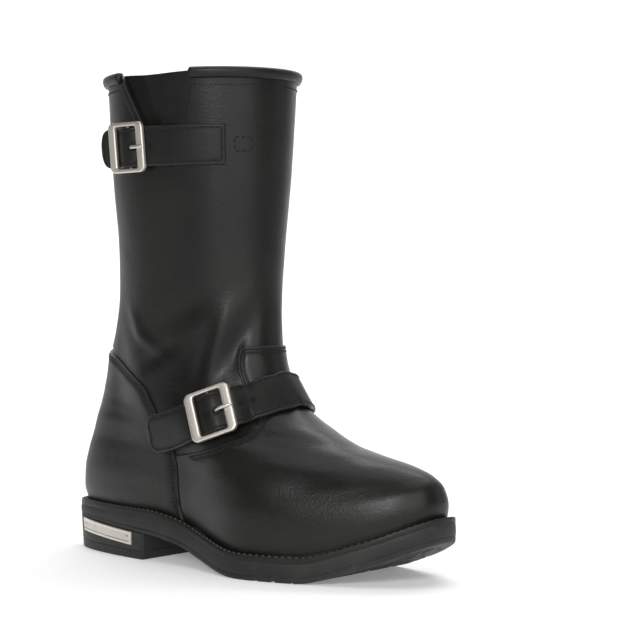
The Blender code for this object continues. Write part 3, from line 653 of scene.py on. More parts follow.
@dataclass(frozen=True)
class Last:
    """The boot's form: its sections, the line of its sole and its sideways bend."""

    length: float = 0.312
    ball_width: float = 0.113
    height: float = 0.3235
    heel_height: float = 0.0178
    heel_length: float = 0.092
    heel_wedge: float = 0.0056
    heel_taper: float = 0.0015
    sole: float = 0.0158
    spring: float = 0.028
    collar_rise: float = 0.0022
    gap: float = 0.0003

    @property
    def origin(self) -> Array:
        """From the outsole's back to the middle of the heel, which is the origin."""
        return np.array((self.heel_length / 2, 0.0, 0.0))

    def tread(self, x: Array) -> Array:
        """Height of the sole line: level heel, arch, ball and toe spring.

        Args:
            x: distances from the back of the outsole.

        Returns:
            One height each.
        """
        stations = (0.0, 0.30, 0.38, 0.48, 0.61, 0.74, 0.87, 1.0)
        heel = self.heel_height
        arch = (heel, heel, 0.84 * heel, 0.40 * heel)
        toe = (0.0, 0.0, 0.39 * self.spring, self.spring)
        return spread(stations, arch + toe, np.asarray(x) / self.length)

    def heel_top(self, x: Array) -> Array:
        """Height of the seam between heel block and outsole."""
        share = np.clip(1 - np.asarray(x) / self.heel_length, 0, 1)
        return self.heel_height + self.heel_wedge * share

    def deck(self, x: Array) -> Array:
        """Height of the welt's top face."""
        return self.tread(x) + self.sole

    def middle(self, x: Array) -> Array:
        """Sideways drift of the last: outward at the waist, inward at the toe.

        Args:
            x: distances from the back of the outsole.

        Returns:
            One shift each.
        """
        u = np.clip(np.asarray(x) / self.length, 0, 1)
        waist = -0.012 * np.sin(np.pi * u) ** 2
        toe = 0.024 * np.clip((u - 0.55) / 0.45, 0, 1) ** 2
        return self.length * (waist + toe)

    def half_width(self, c: Mapping[str, Array], s: Array, inner_side: Array) -> Array:
        """Half width of the last.

        Args:
            c: the sections' columns at these places.
            s: shares of the way from back to front.
            inner_side: whether each place is on the inner side.

        Returns:
            One half width each.
        """
        stations = np.array((0.0, 0.16, 0.44, 0.69, 1.0))
        shift = np.where(inner_side, -0.04, 0.04) * np.sin(np.pi * s)
        names = ("heel", "heel", "waist", "ball", "toe")
        values = np.stack([np.broadcast_to(c[n], s.shape) for n in names])
        at = s + shift
        i = np.clip(np.searchsorted(stations, at, side="right") - 1, 0, 3)
        q = ease((at - stations[i]) / (stations[i + 1] - stations[i]))
        low = np.take_along_axis(values, i[None], 0)[0]
        high = np.take_along_axis(values, i[None] + 1, 0)[0]
        return (low + (high - low) * q) * self.ball_width / 2

    def skin(self, u: Array | float, v: Array | float) -> Array:
        """Points of the bare upper.

        Args:
            u: turns round it.
            v: row positions.

        Returns:
            Points, in the boot's frame.
        """
        u, v = np.broadcast_arrays(np.asarray(u, float), np.asarray(v, float))
        rows = np.arange(len(SECTIONS))
        table = np.array(SECTIONS).T
        c = {name: spread(rows, table[i], v) for i, name in enumerate(COLUMN_NAMES)}
        phi = 2 * np.pi * u
        s = (1 + np.cos(phi)) / 2
        x = self.length * (c["back"] + s * (c["front"] - c["back"]))
        seat = self.heel_height + self.sole
        rise = self.height - self.collar_rise - seat
        z = seat + rise * (c["back_z"] + s * (c["front_z"] - c["back_z"]))
        z = z + c["follow"] * (self.deck(x) - seat) + self.gap
        power = c["round_back"] + (c["round_front"] - c["round_back"]) * s
        closing = np.maximum(1 - np.abs(np.cos(phi)) ** power, 0) ** (1 / power)
        inner_side = np.sin(phi) > 0
        width = self.half_width(c, s, inner_side)
        foot = ease(1.35 - v / 8.0)
        y = np.where(inner_side, 1, -1) * width * closing + self.middle(x) * foot
        return np.stack((x, y, z), -1) - self.origin

    def tangents(self, u: Array, v: Array) -> tuple[Array, Array]:
        """Change of a point of the skin with its turn and with its row.

        Args:
            u: turns round it.
            v: row positions.

        Returns:
            The change a turn and the change a row.
        """
        e, f = 1e-3, 0.02
        along = (self.skin(u + e, v) - self.skin(u - e, v)) / (2 * e)
        high, low = np.minimum(v + f, TOP_ROW), np.maximum(v - f, 0)
        up = (self.skin(u, high) - self.skin(u, low)) / (high - low)[..., None]
        return along, up

    def normal(self, u: Array, v: Array) -> Array:
        """Outward directions of the skin."""
        spots = np.broadcast_arrays(np.asarray(u, float), np.asarray(v, float))
        return unit(np.cross(*self.tangents(*spots)))

    def relief(self, points: Array) -> Array:
        """Height of all creases.

        Args:
            points: places on the skin.

        Returns:
            One height each.
        """
        total = np.zeros(points.shape[:-1])
        for fold, frame in zip(FOLDS, fold_frames()):
            total += fold.raise_at(points, frame)
        return total

    def outline(self, turns: Array, grow: float) -> Array:
        """Plan outline at the feather line, moved outward.

        Args:
            turns: places round the foot.
            grow: distance outward.

        Returns:
            Plan points, measured from the back of the outsole.
        """
        flat = self.skin(turns, 0.0)[:, :2] + self.origin[:2]
        along = self.skin(turns + 2e-3, 0.0) - self.skin(turns - 2e-3, 0.0)
        along = unit(along[:, :2])
        return flat + grow * np.stack((along[:, 1], -along[:, 0]), -1)


LAST = Last()


@cache
def fold_frames() -> tuple[tuple[Array, Array, Array, Array], ...]:
    """Place and directions of every crease.

    Returns:
        For each, its point and the directions round, up and out of the upper.
    """
    frames = []
    for fold in FOLDS:
        at = (np.array(fold.turn), np.array(fold.row))
        along, up = LAST.tangents(*at)
        out = unit(np.cross(along, up))
        across = unit(along)
        frames.append((LAST.skin(*at), across, np.cross(out, across), out))
    return tuple(frames)


# Meshes


@dataclass
class Draft:
    """Vertices, faces, shader numbers and face materials of a mesh in the making."""

    points: list[Array] = field(default_factory=list)
    faces: list[tuple[int, ...]] = field(default_factory=list)
    marks: dict[str, list[Array]] = field(default_factory=dict)
    slots: list[int] = field(default_factory=list)
    count: int = 0

    def add(self, points: Array, faces: Iterable[Sequence[int]], **marks: Array | float) -> None:
        """Take in a part.

        Args:
            points: its vertices.
            faces: its faces, numbered from its own first vertex.
            marks: numbers for the shader, one a vertex or one for all.
        """
        start = self.count
        points = np.asarray(points, float).reshape(-1, 3)
        self.points.append(points)
        self.faces += [tuple(start + int(k) for k in f) for f in faces]
        for name in set(self.marks) | set(marks):
            before = self.marks.setdefault(name, [np.zeros(start)] if start else [])
            values = np.asarray(marks.get(name, 0.0), float)
            before.append(np.broadcast_to(values, (len(points),)))
        self.count += len(points)

    def make(
        self,
        name: str,
        looks: Sequence[bpy.types.Material],
        slot: Slot,
        replaced: Sequence[str] = (),
        sharp: float = 50.0,
    ) -> bpy.types.Object:
        """Turn the draft into a piece of the boot.

        Args:
            name: the piece's name.
            looks: its materials.
            slot: a material slot; not used.
            replaced: model nodes that it stands for.
            sharp: edges steeper than this, in degrees, stay hard.

        Returns:
            The piece.
        """
        mesh = bpy.data.meshes.new(name)
        mesh.from_pydata(np.concatenate(self.points).tolist(), [], self.faces)
        for look in looks:
            mesh.materials.append(look)
        if self.slots:
            mesh.polygons.foreach_set("material_index", self.slots)
        for key, parts in self.marks.items():
            mark = mesh.attributes.new(key, "FLOAT", "POINT")
            mark.data.foreach_set("value", np.concatenate(parts))
        mesh.shade_smooth()
        mesh.set_sharp_from_angle(angle=math.radians(sharp))
        piece = bpy.data.objects.new(name, mesh)
        bpy.context.scene.collection.objects.link(piece)
        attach(piece, BODY)
        if replaced:
            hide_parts(*replaced)
        log.info("%s: %d faces", name, len(self.faces))
        return piece


def grid(rows: int, columns: int, closed: bool = False) -> list[tuple[int, ...]]:
    """Faces of a grid of points.

    Args:
        rows: rows of points.
        columns: points a row.
        closed: whether each row runs round.

    Returns:
        Four-sided faces.
    """
    faces = []
    for i in range(rows - 1):
        for j in range(columns if closed else columns - 1):
            k = (j + 1) % columns
            a, b = i * columns + j, i * columns + k
            faces.append((a, b, b + columns, a + columns))
    return faces


def end_caps(rows: int, columns: int) -> list[tuple[int, ...]]:
    """The two faces that close a run of rings."""
    last = (rows - 1) * columns
    return [tuple(reversed(range(columns))), tuple(range(last, last + columns))]


def turned(faces: Iterable[Sequence[int]]) -> list[tuple[int, ...]]:
    """The same faces, seen from behind."""
    return [tuple(reversed(f)) for f in faces]


def shell(faces: Sequence[Sequence[int]], count: int) -> list[tuple[int, ...]]:
    """Close a sheet with its copy behind it.

    Args:
        faces: the outer sheet's faces.
        count: points in the sheet; the copy's come after them.

    Returns:
        Faces of the closed form.
    """
    back = [tuple(count + k for k in f) for f in turned(faces)]
    solid = [tuple(f) for f in faces] + back
    edges = {(f[k], f[(k + 1) % len(f)]) for f in faces for k in range(len(f))}
    for a, b in sorted(edges):
        if (b, a) not in edges:
            solid.append((b, a, count + a, count + b))
    return solid


class Ground(Protocol):
    """A surface with two coordinates that leather is laid on."""

    stretch: tuple[float, float]

    def place(self, spots: Array) -> tuple[Array, Array]:
        """Points and outward directions at pairs of coordinates."""


@dataclass(frozen=True)
class UpperGround:
    """The last's skin with its creases."""

    stretch: tuple[float, float] = (0.33, 0.021)

    def place(self, spots: Array) -> tuple[Array, Array]:
        """Points on the leather.

        Args:
            spots: turns and rows.

        Returns:
            Points and outward directions.
        """
        u, v = spots[:, 0], spots[:, 1]
        points = LAST.skin(u, v)
        out = LAST.normal(u, v)
        return points + out * LAST.relief(points)[:, None], out


class Ribbon:
    """A strap's own ground: distance along its middle line, and distance to the side."""

    stretch = (1.0, 1.0)

    def __init__(self, centres: Array, sides: Array, soften: float = 0.0012) -> None:
        """Lay the ribbon.

        Args:
            centres: its middle line, of close even steps.
            sides: direction to its left edge at each of them.
            soften: length over which bends are rounded.
        """
        step = float(run_length(centres)[-1]) / (len(centres) - 1)
        reach = max(1, int(3 * soften / step))
        k = hump(np.arange(-reach, reach + 1) * step, soften)
        k /= k.sum()
        beyond = ((reach, reach), (0, 0))
        padded = np.pad(centres, beyond, mode="reflect", reflect_type="odd")
        smooth = [np.convolve(padded[:, i], k, mode="valid") for i in range(3)]
        self.line = np.stack(smooth, -1)
        self.run = run_length(self.line)
        along = unit(np.gradient(self.line, self.run, axis=0))
        self.sides = unit(sides - along * dot(sides, along)[:, None])
        self.out = unit(np.cross(along, self.sides))

    @classmethod
    def through(cls, controls: Sequence[tuple[Array, Array]], steps: int) -> "Ribbon":
        """Lay a ribbon through places and their sides.

        Args:
            controls: centre and side of the ribbon at each place.
            steps: points along it.

        Returns:
            The ribbon.
        """
        table = np.array([np.concatenate(c) for c in controls])
        run = run_length(table[:, :3])
        fine = np.linspace(0, run[-1], steps)
        path = np.stack([spread(run, table[:, k], fine) for k in range(6)], -1)
        return cls(path[:, :3], path[:, 3:])

    @property
    def length(self) -> float:
        """Length of the middle line."""
        return float(self.run[-1])

    def _at(self, values: Array, s: Array) -> Array:
        """Values along the line, read at s."""
        return np.stack([np.interp(s, self.run, values[:, i]) for i in range(3)], -1)

    def place(self, spots: Array) -> tuple[Array, Array]:
        """Points and outward directions at distances along and across."""
        s, w = spots[:, 0], spots[:, 1:]
        return self._at(self.line, s) + self._at(self.sides, s) * w, unit(self._at(self.out, s))


def step_in(ground: Ground, line: Array, distance: float) -> Array:
    """Move a line to its left over the ground.

    Args:
        ground: what the line lies on.
        line: pairs of coordinates.
        distance: metres to the left.

    Returns:
        The moved pairs.
    """
    e = 1e-3 / np.array(ground.stretch)
    points, out = ground.place(line)
    changes = []
    for k, step in enumerate(((e[0], 0), (0, e[1]))):
        change = ground.place(line + step)[0] - ground.place(line - step)[0]
        changes.append(change / (2 * e[k]))
    across, up = changes
    left = unit(np.cross(out, np.gradient(points, axis=0))) * distance
    aa, ab, bb = dot(across, across), dot(across, up), dot(up, up)
    p, q = dot(left, across), dot(left, up)
    scale = aa * bb - ab * ab
    return line + np.stack(((p * bb - q * ab) / scale, (q * aa - p * ab) / scale), -1)


def even(ground: Ground, line: Array, pitch: float) -> Array:
    """A line at even steps.

    Args:
        ground: what the line lies on.
        line: pairs of coordinates.
        pitch: length of a step, in metres.

    Returns:
        Pairs of coordinates.
    """
    run = run_length(ground.place(line)[0])
    steps = max(1, round(run[-1] / pitch))
    at = np.linspace(0, run[-1], steps + 1)
    return np.stack([np.interp(at, run, line[:, k]) for k in (0, 1)], -1)


def distance_to(points: Array, line: Array) -> Array:
    """Shortest distances to an open line.

    Args:
        points: places to measure from.
        line: the line's points.

    Returns:
        One distance a place.
    """
    if len(line) < 2:
        return np.full(len(points), 1.0)
    tree = KDTree(len(line))
    for k, p in enumerate(line.tolist()):
        tree.insert(p, k)
    tree.balance()
    near = np.array([tree.find(p)[1] for p in points.tolist()])
    best = np.full(len(points), np.inf)
    for first in (near - 1, near):
        first = np.clip(first, 0, len(line) - 2)
        a, b = line[first], line[first + 1]
        t = np.clip(dot(points - a, b - a) / np.maximum(dot(b - a, b - a), 1e-18), 0, 1)
        best = np.minimum(best, np.linalg.norm(points - a - t[:, None] * (b - a), axis=-1))
    return best


def within(spots: Array, polygon: Array) -> Array:
    """Whether spots lie inside a closed polygon.

    Args:
        spots: pairs of coordinates.
        polygon: its corners, in order.

    Returns:
        One answer a spot.
    """
    x, y = spots[:, :1], spots[:, 1:]
    a, b = polygon, np.roll(polygon, -1, 0)
    spans = (a[:, 1] > y) != (b[:, 1] > y)
    rise = np.where(a[:, 1] == b[:, 1], 1e-12, b[:, 1] - a[:, 1])
    crossing = a[:, 0] + (y - a[:, 1]) / rise * (b[:, 0] - a[:, 0])
    return (spans & (x < crossing)).sum(1) % 2 == 1


WHOLE, WITH_HOLES = 1, 2  # what the triangulation keeps
SAME_PLACE = 1e-7


def level_points(spots: Array) -> Array:
    """The same places with one more coordinate, which is 0."""
    return np.column_stack((spots, np.zeros(len(spots))))


def looped(line: Array) -> Array:
    """A loop with its first point again at its end."""
    return np.vstack((line, line[:1]))


def cut_faces(spots: Array, loops: Sequence[Array]) -> tuple[Array, list[Sequence[int]]]:
    """Fill an outline with triangles.

    Args:
        spots: plan points, the loops' own first.
        loops: the outline, and the holes in it.

    Returns:
        The points used, and the faces.
    """
    edges, start = [], 0
    for loop in loops:
        n = len(loop)
        edges += [(start + k, start + (k + 1) % n) for k in range(n)]
        start += n
    kind = WITH_HOLES if len(loops) > 1 else WHOLE
    points = [Vector(p) for p in spots.tolist()]
    made, _, faces, *_ = delaunay_2d_cdt(points, edges, [], kind, SAME_PLACE)
    return np.array([tuple(p) for p in made]), faces


@dataclass(frozen=True)
class Edge:
    """One run of a piece's outline."""

    line: Array
    free: bool = True


@dataclass
class Sheet:
    """A piece of leather cut to an outline and laid on its ground, with rounded edges."""

    ground: Ground
    edges: list[Edge]
    thickness: float
    seams: list[Array] = field(default_factory=list)
    holes: list[Array] = field(default_factory=list)
    pitch: float = 0.0021
    sink: float = 0.0002
    groove: float = 0.00038
    fine: float = 0.0009
    edge_steps: tuple[float, ...] = (0.0003, 0.0007, 0.0013)
    seam_steps: tuple[float, ...] = (-0.0006, 0.0, 0.0006)
    seam_reach: float = 0.0007
    rub_reach: float = 0.0009
    rim_sink: float = 0.00025

    def outline(self) -> tuple[Array, list[Array]]:
        """The whole outline, and its free runs.

        Returns:
            Pairs of coordinates in order, and the runs with a rounded edge.
        """
        runs = [even(self.ground, e.line, self.fine) for e in self.edges]
        free = [run for run, e in zip(runs, self.edges) if e.free]
        return np.vstack([run[:-1] for run in runs]), free

    def spots(self, border: Array, free: list[Array]) -> Array:
        """Places of the inner vertices: along the edges and seams, and a grid between.

        Args:
            border: the outline.
            free: the runs with a rounded edge.

        Returns:
            Pairs of coordinates.
        """
        stretch = np.array(self.ground.stretch)
        fine = [step_in(self.ground, run, d) for run in free for d in self.edge_steps]
        for seam in self.seams:
            line = even(self.ground, seam, self.fine)
            fine += [step_in(self.ground, line, d) for d in self.seam_steps]
        low, high = border.min(0), border.max(0)
        step = self.pitch / stretch
        across = np.arange(low[0], high[0], step[0])
        up = np.arange(low[1], high[1], step[1])
        a, b = np.meshgrid(across, up)
        a = a + np.where(np.arange(len(up)) % 2, 0.5 * step[0], 0.0)[:, None]
        coarse = np.stack((a.ravel(), b.ravel()), -1)
        rim = level_points(looped(border) * stretch)
        kept = []
        fine_spots = np.vstack(fine) if fine else np.zeros((0, 2))
        for spots, room in ((fine_spots, 0.00022), (coarse, 0.45 * self.pitch)):
            spots = spots[within(spots, border)]
            for hole in self.holes:
                spots = spots[~within(spots, hole)]
            if len(spots):
                spots = spots[distance_to(level_points(spots * stretch), rim) > room]
            kept.append(spots)
        fine_spots, coarse = kept
        if len(fine_spots) and len(coarse):
            near, cells = (
                [tuple(c) for c in np.floor(a / step * 1.3).astype(int).tolist()]
                for a in (fine_spots, coarse)
            )
            taken = set(near)
            coarse = coarse[[c not in taken for c in cells]]
        return np.vstack((fine_spots, coarse))

    def height(
        self, points: Array, free: list[Array], seams: list[Array]
    ) -> tuple[Array, Array, Array]:
        """Height of the top face, how much each place is rubbed, and its seam grooves with their
        painted shade.

        Args:
            points: places on the ground, in space.
            free: free edges, in space.
            seams: seam lines, in space.

        Returns:
            Heights over the ground, how much each place is rubbed, and how near a seam it is,
            which sinks the groove and sets its painted shade.
        """
        edge = np.full(len(points), 1.0)
        for run in free:
            edge = np.minimum(edge, distance_to(points, run))
        radius = 0.5 * self.thickness
        q = np.clip(1 - edge / radius, 0, 1)
        top = self.thickness - radius * (1 - np.sqrt(1 - q * q * 0.98))
        groove_and_painted_shade = np.zeros(len(points))
        for seam in seams:
            groove_and_painted_shade = np.maximum(groove_and_painted_shade, hump(distance_to(points, seam), self.seam_reach))
        return top - self.groove * groove_and_painted_shade, hump(edge, self.rub_reach), groove_and_painted_shade

    def build(self, name: str, look: bpy.types.Material, *replaced: str) -> None:
        """Cut the sheet and make the piece.

        Args:
            name: the piece's name.
            look: its material.
            replaced: model nodes that it stands for.
        """
        border, free = self.outline()
        x, y = border.T
        if np.sum(x * np.roll(y, -1) - np.roll(x, -1) * y) < 0:
            raise ValueError("an outline must run left-handed round its piece")
        loops = [border, *self.holes]
        spots = np.vstack((*loops, self.spots(border, free)))
        made, faces = cut_faces(spots * self.ground.stretch, loops)
        points, out = self.ground.place(made / self.ground.stretch)
        free_lines = [self.ground.place(run)[0] for run in free]
        seam_lines = [self.ground.place(seam)[0] for seam in self.seams]
        top, rub, groove_and_painted_shade = self.height(points, free_lines, seam_lines)
        # Each hole's rim sinks a little, and painted shade darkens the leather round it so the
        # hole reads dark.
        for hole in self.holes:
            rim = distance_to(points, self.ground.place(looped(hole))[0])
            top -= self.rim_sink * hump(rim, 0.0004)
            groove_and_painted_shade = np.maximum(groove_and_painted_shade, hump(rim, 0.0005))
        both = np.vstack((points + out * top[:, None], points - out * self.sink))
        draft = Draft()
        solid = shell(faces, len(points))
        draft.add(both, solid, rub=np.tile(rub, 2), seam=np.tile(groove_and_painted_shade, 2))
        draft.make(name, (look,), Slot.BLACK_LEATHER, replaced, 60)

    def sew(self, name: str, look: bpy.types.Material) -> None:
        """Sew every seam of the sheet.

        Args:
            name: the stitches' name.
            look: the thread's material.
        """
        draft = Draft()
        for seam in self.seams:
            sew(draft, *self.top_line(seam), FINE_STITCH)
        draft.make(name, (look,), Slot.BLACK_LEATHER)

    def top_line(self, seam: Array) -> tuple[Array, Array]:
        """A seam on the sheet's top face: its points and outward directions."""
        points, out = self.ground.place(seam)
        return points + out * (self.thickness - 0.6 * self.groove), out


@dataclass(frozen=True)
class Stitch:
    """One size of stitch."""

    pitch: float = 0.0027
    length: float = 0.0020
    radius: float = 0.00040
    slant: float = 0.12


FINE_STITCH = Stitch()
ZIGZAG_STITCH = Stitch(pitch=0.0022, length=0.0024, radius=0.00042)
SQUARE_STITCH = Stitch(pitch=0.0034, length=0.0027, radius=0.00066)
WELT_STITCH = Stitch(pitch=0.0046, length=0.0036, radius=0.00072, slant=0.06)


def sew(draft: Draft, points: Array, out: Array, stitch: Stitch, weave: float = 0.0) -> None:
    """Lay stitches along a line.

    Args:
        draft: takes the stitches.
        points: the line, in space.
        out: outward directions at its points.
        stitch: their size.
        weave: sideways swing of a zigzag.
    """
    run = run_length(points)
    count = int(run[-1] / stitch.pitch)
    if count < 1:
        return
    middle = (np.arange(count) + 0.5) * run[-1] / count
    ring, sections = 6, 5
    t = np.linspace(-1, 1, sections)
    angles = 2 * np.pi * np.arange(ring) / ring
    swell = np.sqrt(np.maximum(1 - t**4, 0.02))
    lift = stitch.radius * (0.55 - 0.95 * t**2)
    side_swing = stitch.slant * stitch.length * t / 2
    faces = grid(sections, ring, True) + end_caps(sections, ring)
    for number, m in enumerate(middle):
        sign = 1 if number % 2 else -1
        s = m + t * stitch.length / 2
        centre = np.stack([np.interp(s, run, points[:, k]) for k in range(3)], -1)
        normal = unit(np.stack([np.interp(m, run, out[:, k]) for k in range(3)], -1))
        along = unit(centre[-1] - centre[0])
        side = np.cross(normal, along)
        swing = side_swing + sign * weave * t
        axis = centre + normal * lift[:, None] + side * swing[:, None]
        circle = np.cos(angles)[:, None] * side + np.sin(angles)[:, None] * normal
        body = axis[:, None] + circle[None] * (stitch.radius * swell)[:, None, None]
        draft.add(body.reshape(-1, 3), faces)


# Upper


@dataclass
class Shaft:
    """The hollow upper: foot, ankle and shaft in one skin, notched at the collar."""

    finishes: Finishes
    leather: float = 0.0022
    columns: int = 216
    rings: int = 170
    seam_drop: float = 0.30
    zigzag: float = 0.0016
    square: tuple[tuple[float, float], ...] = (
        (-0.0985, 13.685), (-0.0665, 13.685), (-0.0665, 13.445), (-0.0985, 13.445),
    )

    def turns(self, v: float) -> Array:
        """Turn of every column of a ring; two of them follow the notch's edges.

        Args:
            v: the ring's row position.

        Returns:
            One turn a column.
        """
        plain = np.arange(self.columns + 1) / self.columns
        front, rear = 1 + edge_turn(NOTCH_FRONT, v), 1 + edge_turn(NOTCH_REAR, v)
        half, last = self.columns // 2, self.columns
        knots = (0, half, self.column(NOTCH_REAR), self.column(NOTCH_FRONT), last)
        bent = np.interp(np.arange(last + 1), knots, (0.0, 0.5, rear, front, 1.0))
        share = ease((v - (NOTCH_LOW - 2.5)) / 2.5)
        return (plain + (bent - plain) * share)[: self.columns]

    def column(self, edge: Sequence[tuple[float, float]]) -> int:
        """Column that follows an edge of the notch."""
        return round(self.columns * (1 + edge_turn(edge, TOP_ROW)))

    def build(self) -> None:
        """Make the upper's outer face, its lining and its cut edges."""
        rows = np.linspace(0, TOP_ROW, self.rings + 1)
        notch = int(np.argmin(abs(rows - NOTCH_LOW)))
        rows[notch] = NOTCH_LOW
        spots = np.array([[(u, v) for u in self.turns(v)] for v in rows])
        points, out = UpperGround().place(spots.reshape(-1, 2))
        inner = points - out * self.leather
        inner[: self.columns, 2] = points[: self.columns, 2]
        inner[-self.columns :, 2] = points[-self.columns :, 2]
        gap = range(self.column(NOTCH_REAR), self.column(NOTCH_FRONT))
        faces = []
        for number, face in enumerate(grid(len(rows), self.columns, True)):
            i, j = divmod(number, self.columns)
            if i < notch or j not in gap:
                faces.append(face)
        solid = shell(faces, len(points))
        every = np.vstack((points, inner))
        used = np.unique(np.concatenate([np.array(f) for f in solid]))
        place = np.full(len(every), -1)
        place[used] = np.arange(len(used))
        solid = [tuple(int(k) for k in place[list(f)]) for f in solid]
        draft = Draft()
        draft.add(every[used], solid, rub=0.0)
        n = len(faces)
        draft.slots = [1 if n <= k < 2 * n else 0 for k in range(len(solid))]
        looks = (self.finishes.shaft, self.finishes.lining)
        draft.make("upper_leather", looks, Slot.BLACK_LEATHER, ("upper",), 60)
        self.stitch()

    def stitch(self) -> None:
        """Sew the line under the collar, the gusset's zigzag and the small square."""
        draft = Draft()
        ground = UpperGround()
        level = TOP_ROW - self.seam_drop
        start = edge_turn(NOTCH_FRONT, level) + 0.006
        stop = 1 + edge_turn(NOTCH_REAR, level) - 0.010
        line = np.column_stack((np.linspace(start, stop, 300), np.full(300, level)))
        sew(draft, *ground.place(line), FINE_STITCH)
        rows = (14.68, 14.4, 14.1, 13.93)
        front = curved([(edge_turn(NOTCH_FRONT, v) + 0.007, v) for v in rows])
        sew(draft, *ground.place(front), ZIGZAG_STITCH, self.zigzag)
        for a, b in zip(self.square, self.square[1:] + self.square[:1]):
            sew(draft, *ground.place(curved((a, b), 30)), SQUARE_STITCH)
        draft.make("collar_stitches", (self.finishes.thread,), Slot.BLACK_LEATHER)


def edge_turn(points: Sequence[tuple[float, float]], v: Array | float) -> Array | float:
    """The turn of a steep line on the upper at row positions v."""
    pairs = sorted((p[1], p[0]) for p in points)
    return np.interp(v, [p[0] for p in pairs], [p[1] for p in pairs])


@dataclass
class Overlays:
    """The leather panels sewn on the upper: vamp with tongue, counter and backstay."""

    finishes: Finishes
    vamp: float = 0.0015
    counter: float = 0.0019
    backstay: float = 0.0013
    backstay_width: float = 0.018
    side_seam: float = 0.2795
    row_gap: float = 0.0021
    edge_gap: float = 0.0019
    seam_step: float = 0.0012
    backstay_seam: float = 0.0020
    fold: float = 0.0012
    fold_width: float = 0.0052

    def build(self) -> None:
        """Cut and sew the three panels."""
        self.build_vamp()
        self.build_counter()
        self.build_backstay()
        self.build_notch_fold()

    def sides(self, runs: list[Array], mirror: Array, shift: Array) -> list[Edge]:
        """Free edges of a panel, from its end round the top to its start.

        Args:
            runs: the outline's runs on one side, going up.
            mirror: factors that turn one side into the other.
            shift: what is added after that.

        Returns:
            The edges.
        """
        other = [run[::-1] * mirror + shift for run in reversed(runs)]
        return [Edge(run[::-1]) for run in reversed(runs + other)]

    def build_vamp(self) -> None:
        """The toe and instep panel with its tongue."""
        start = -self.side_seam
        outline = (
            ((start, 0.0), (start, 3.66)),
            (
                (start, 3.66), (-0.243, 4.42), (-0.194, 5.47),
                (-0.1625, 6.17), (-0.132, 6.93), (-0.112, 7.42),
            ),
            ((-0.112, 7.42), (-0.1025, 7.72), (-0.1015, 8.05)),
            ((-0.1015, 8.05), (-0.1030, 8.57), (-0.0990, 9.0), (-0.0940, 9.30)),
            ((-0.0940, 9.30), (-0.0895, 9.43), (-0.0780, 9.49), (-0.040, 9.50), (0.0, 9.50)),
        )
        runs = [curved(points) for points in outline]
        other_side = np.array((-1, 1))
        bottom = level_points(np.linspace(start, -start, 400))
        ground = UpperGround()
        edges = [Edge(bottom, False)] + self.sides(runs, other_side, np.zeros(2))
        lines = np.vstack((runs[1], runs[2][1:])), np.vstack((runs[3], runs[4][1:]))
        seams = []
        for d in (self.edge_gap, self.edge_gap + self.row_gap):
            for sign in (1, -1):
                for line in lines:
                    seam = step_in(ground, line, -d) * (sign, 1)
                    seams.append(even(ground, seam[seam[:, 1] > 3.9], self.seam_step))
        sheet = Sheet(ground, edges, self.vamp, seams)
        sheet.build("vamp_panel", self.finishes.vamp, "vamp")
        sheet.sew("vamp_stitches", self.finishes.thread)

    def build_counter(self) -> None:
        """The heel panel with its peak at the back."""
        start = self.side_seam + 0.0015
        side = [(start, 0.0), (start, 3.7), (start - 0.001, 6.5), (start - 0.001, 7.30)]
        top = [(start - 0.001, 7.30), (0.2855, 7.95), (0.327, 8.47)]
        top += [(0.377, 8.88), (0.44, 9.10), (0.5, 9.28)]
        runs = [curved(side, 40), curved(top)]
        other_side, shift = np.array((-1, 1)), np.array((1, 0))
        bottom = level_points(np.linspace(start, 1 - start, 300))
        ground = UpperGround()
        edges = [Edge(bottom, False)] + self.sides(runs, other_side, shift)
        line = np.vstack((runs[0], runs[1][1:]))
        seams = []
        for d in (self.edge_gap, self.edge_gap + self.row_gap):
            seam = step_in(ground, line, -d)
            seam = seam[(seam[:, 1] > 0.1) & (seam[:, 0] < 0.4995)]
            for part in (seam, seam * other_side + shift):
                seams.append(even(ground, part, self.seam_step))
        sheet = Sheet(ground, edges, self.counter, seams)
        sheet.build("counter_panel", self.finishes.shaft, "counter")
        sheet.sew("counter_stitches", self.finishes.thread)

    def build_backstay(self) -> None:
        """The strip that covers the back seam."""
        rows = np.linspace(9.26, 14.55, 60)
        half = self.backstay_width / 2
        step = LAST.skin(0.505, rows) - LAST.skin(0.495, rows)
        speed = np.linalg.norm(step, axis=1) / 0.01
        lead = np.column_stack((0.5 - half / speed, rows))
        trail = np.column_stack((0.5 + half / speed, rows))
        bottom = np.vstack((lead[:1], trail[:1]))
        top = np.vstack((trail[-1:], lead[-1:]))
        ground = UpperGround()
        edges = [Edge(bottom), Edge(trail), Edge(top), Edge(lead[::-1])]
        seams = [
            even(ground, step_in(ground, side, self.backstay_seam), self.seam_step)
            for side in (trail, lead[::-1])
        ]
        sheet = Sheet(ground, edges, self.backstay, seams)
        sheet.build("backstay_strip", self.finishes.shaft, "backstay")
        sheet.sew("backstay_stitches", self.finishes.thread)

    def build_notch_fold(self) -> None:
        """The turned edge along the rear of the notch."""
        rows = np.linspace(13.55, 14.86, 40)
        edge = np.column_stack((edge_turn(NOTCH_REAR, rows) - 0.0006, rows))
        ground = UpperGround()
        back = step_in(ground, edge, self.fold_width)
        edges = [Edge(edge), Edge(np.vstack((edge[-1:], back[-1:]))), Edge(back[::-1])]
        edges.append(Edge(np.vstack((back[:1], edge[:1]))))
        Sheet(ground, edges, self.fold).build("notch_fold", self.finishes.shaft)


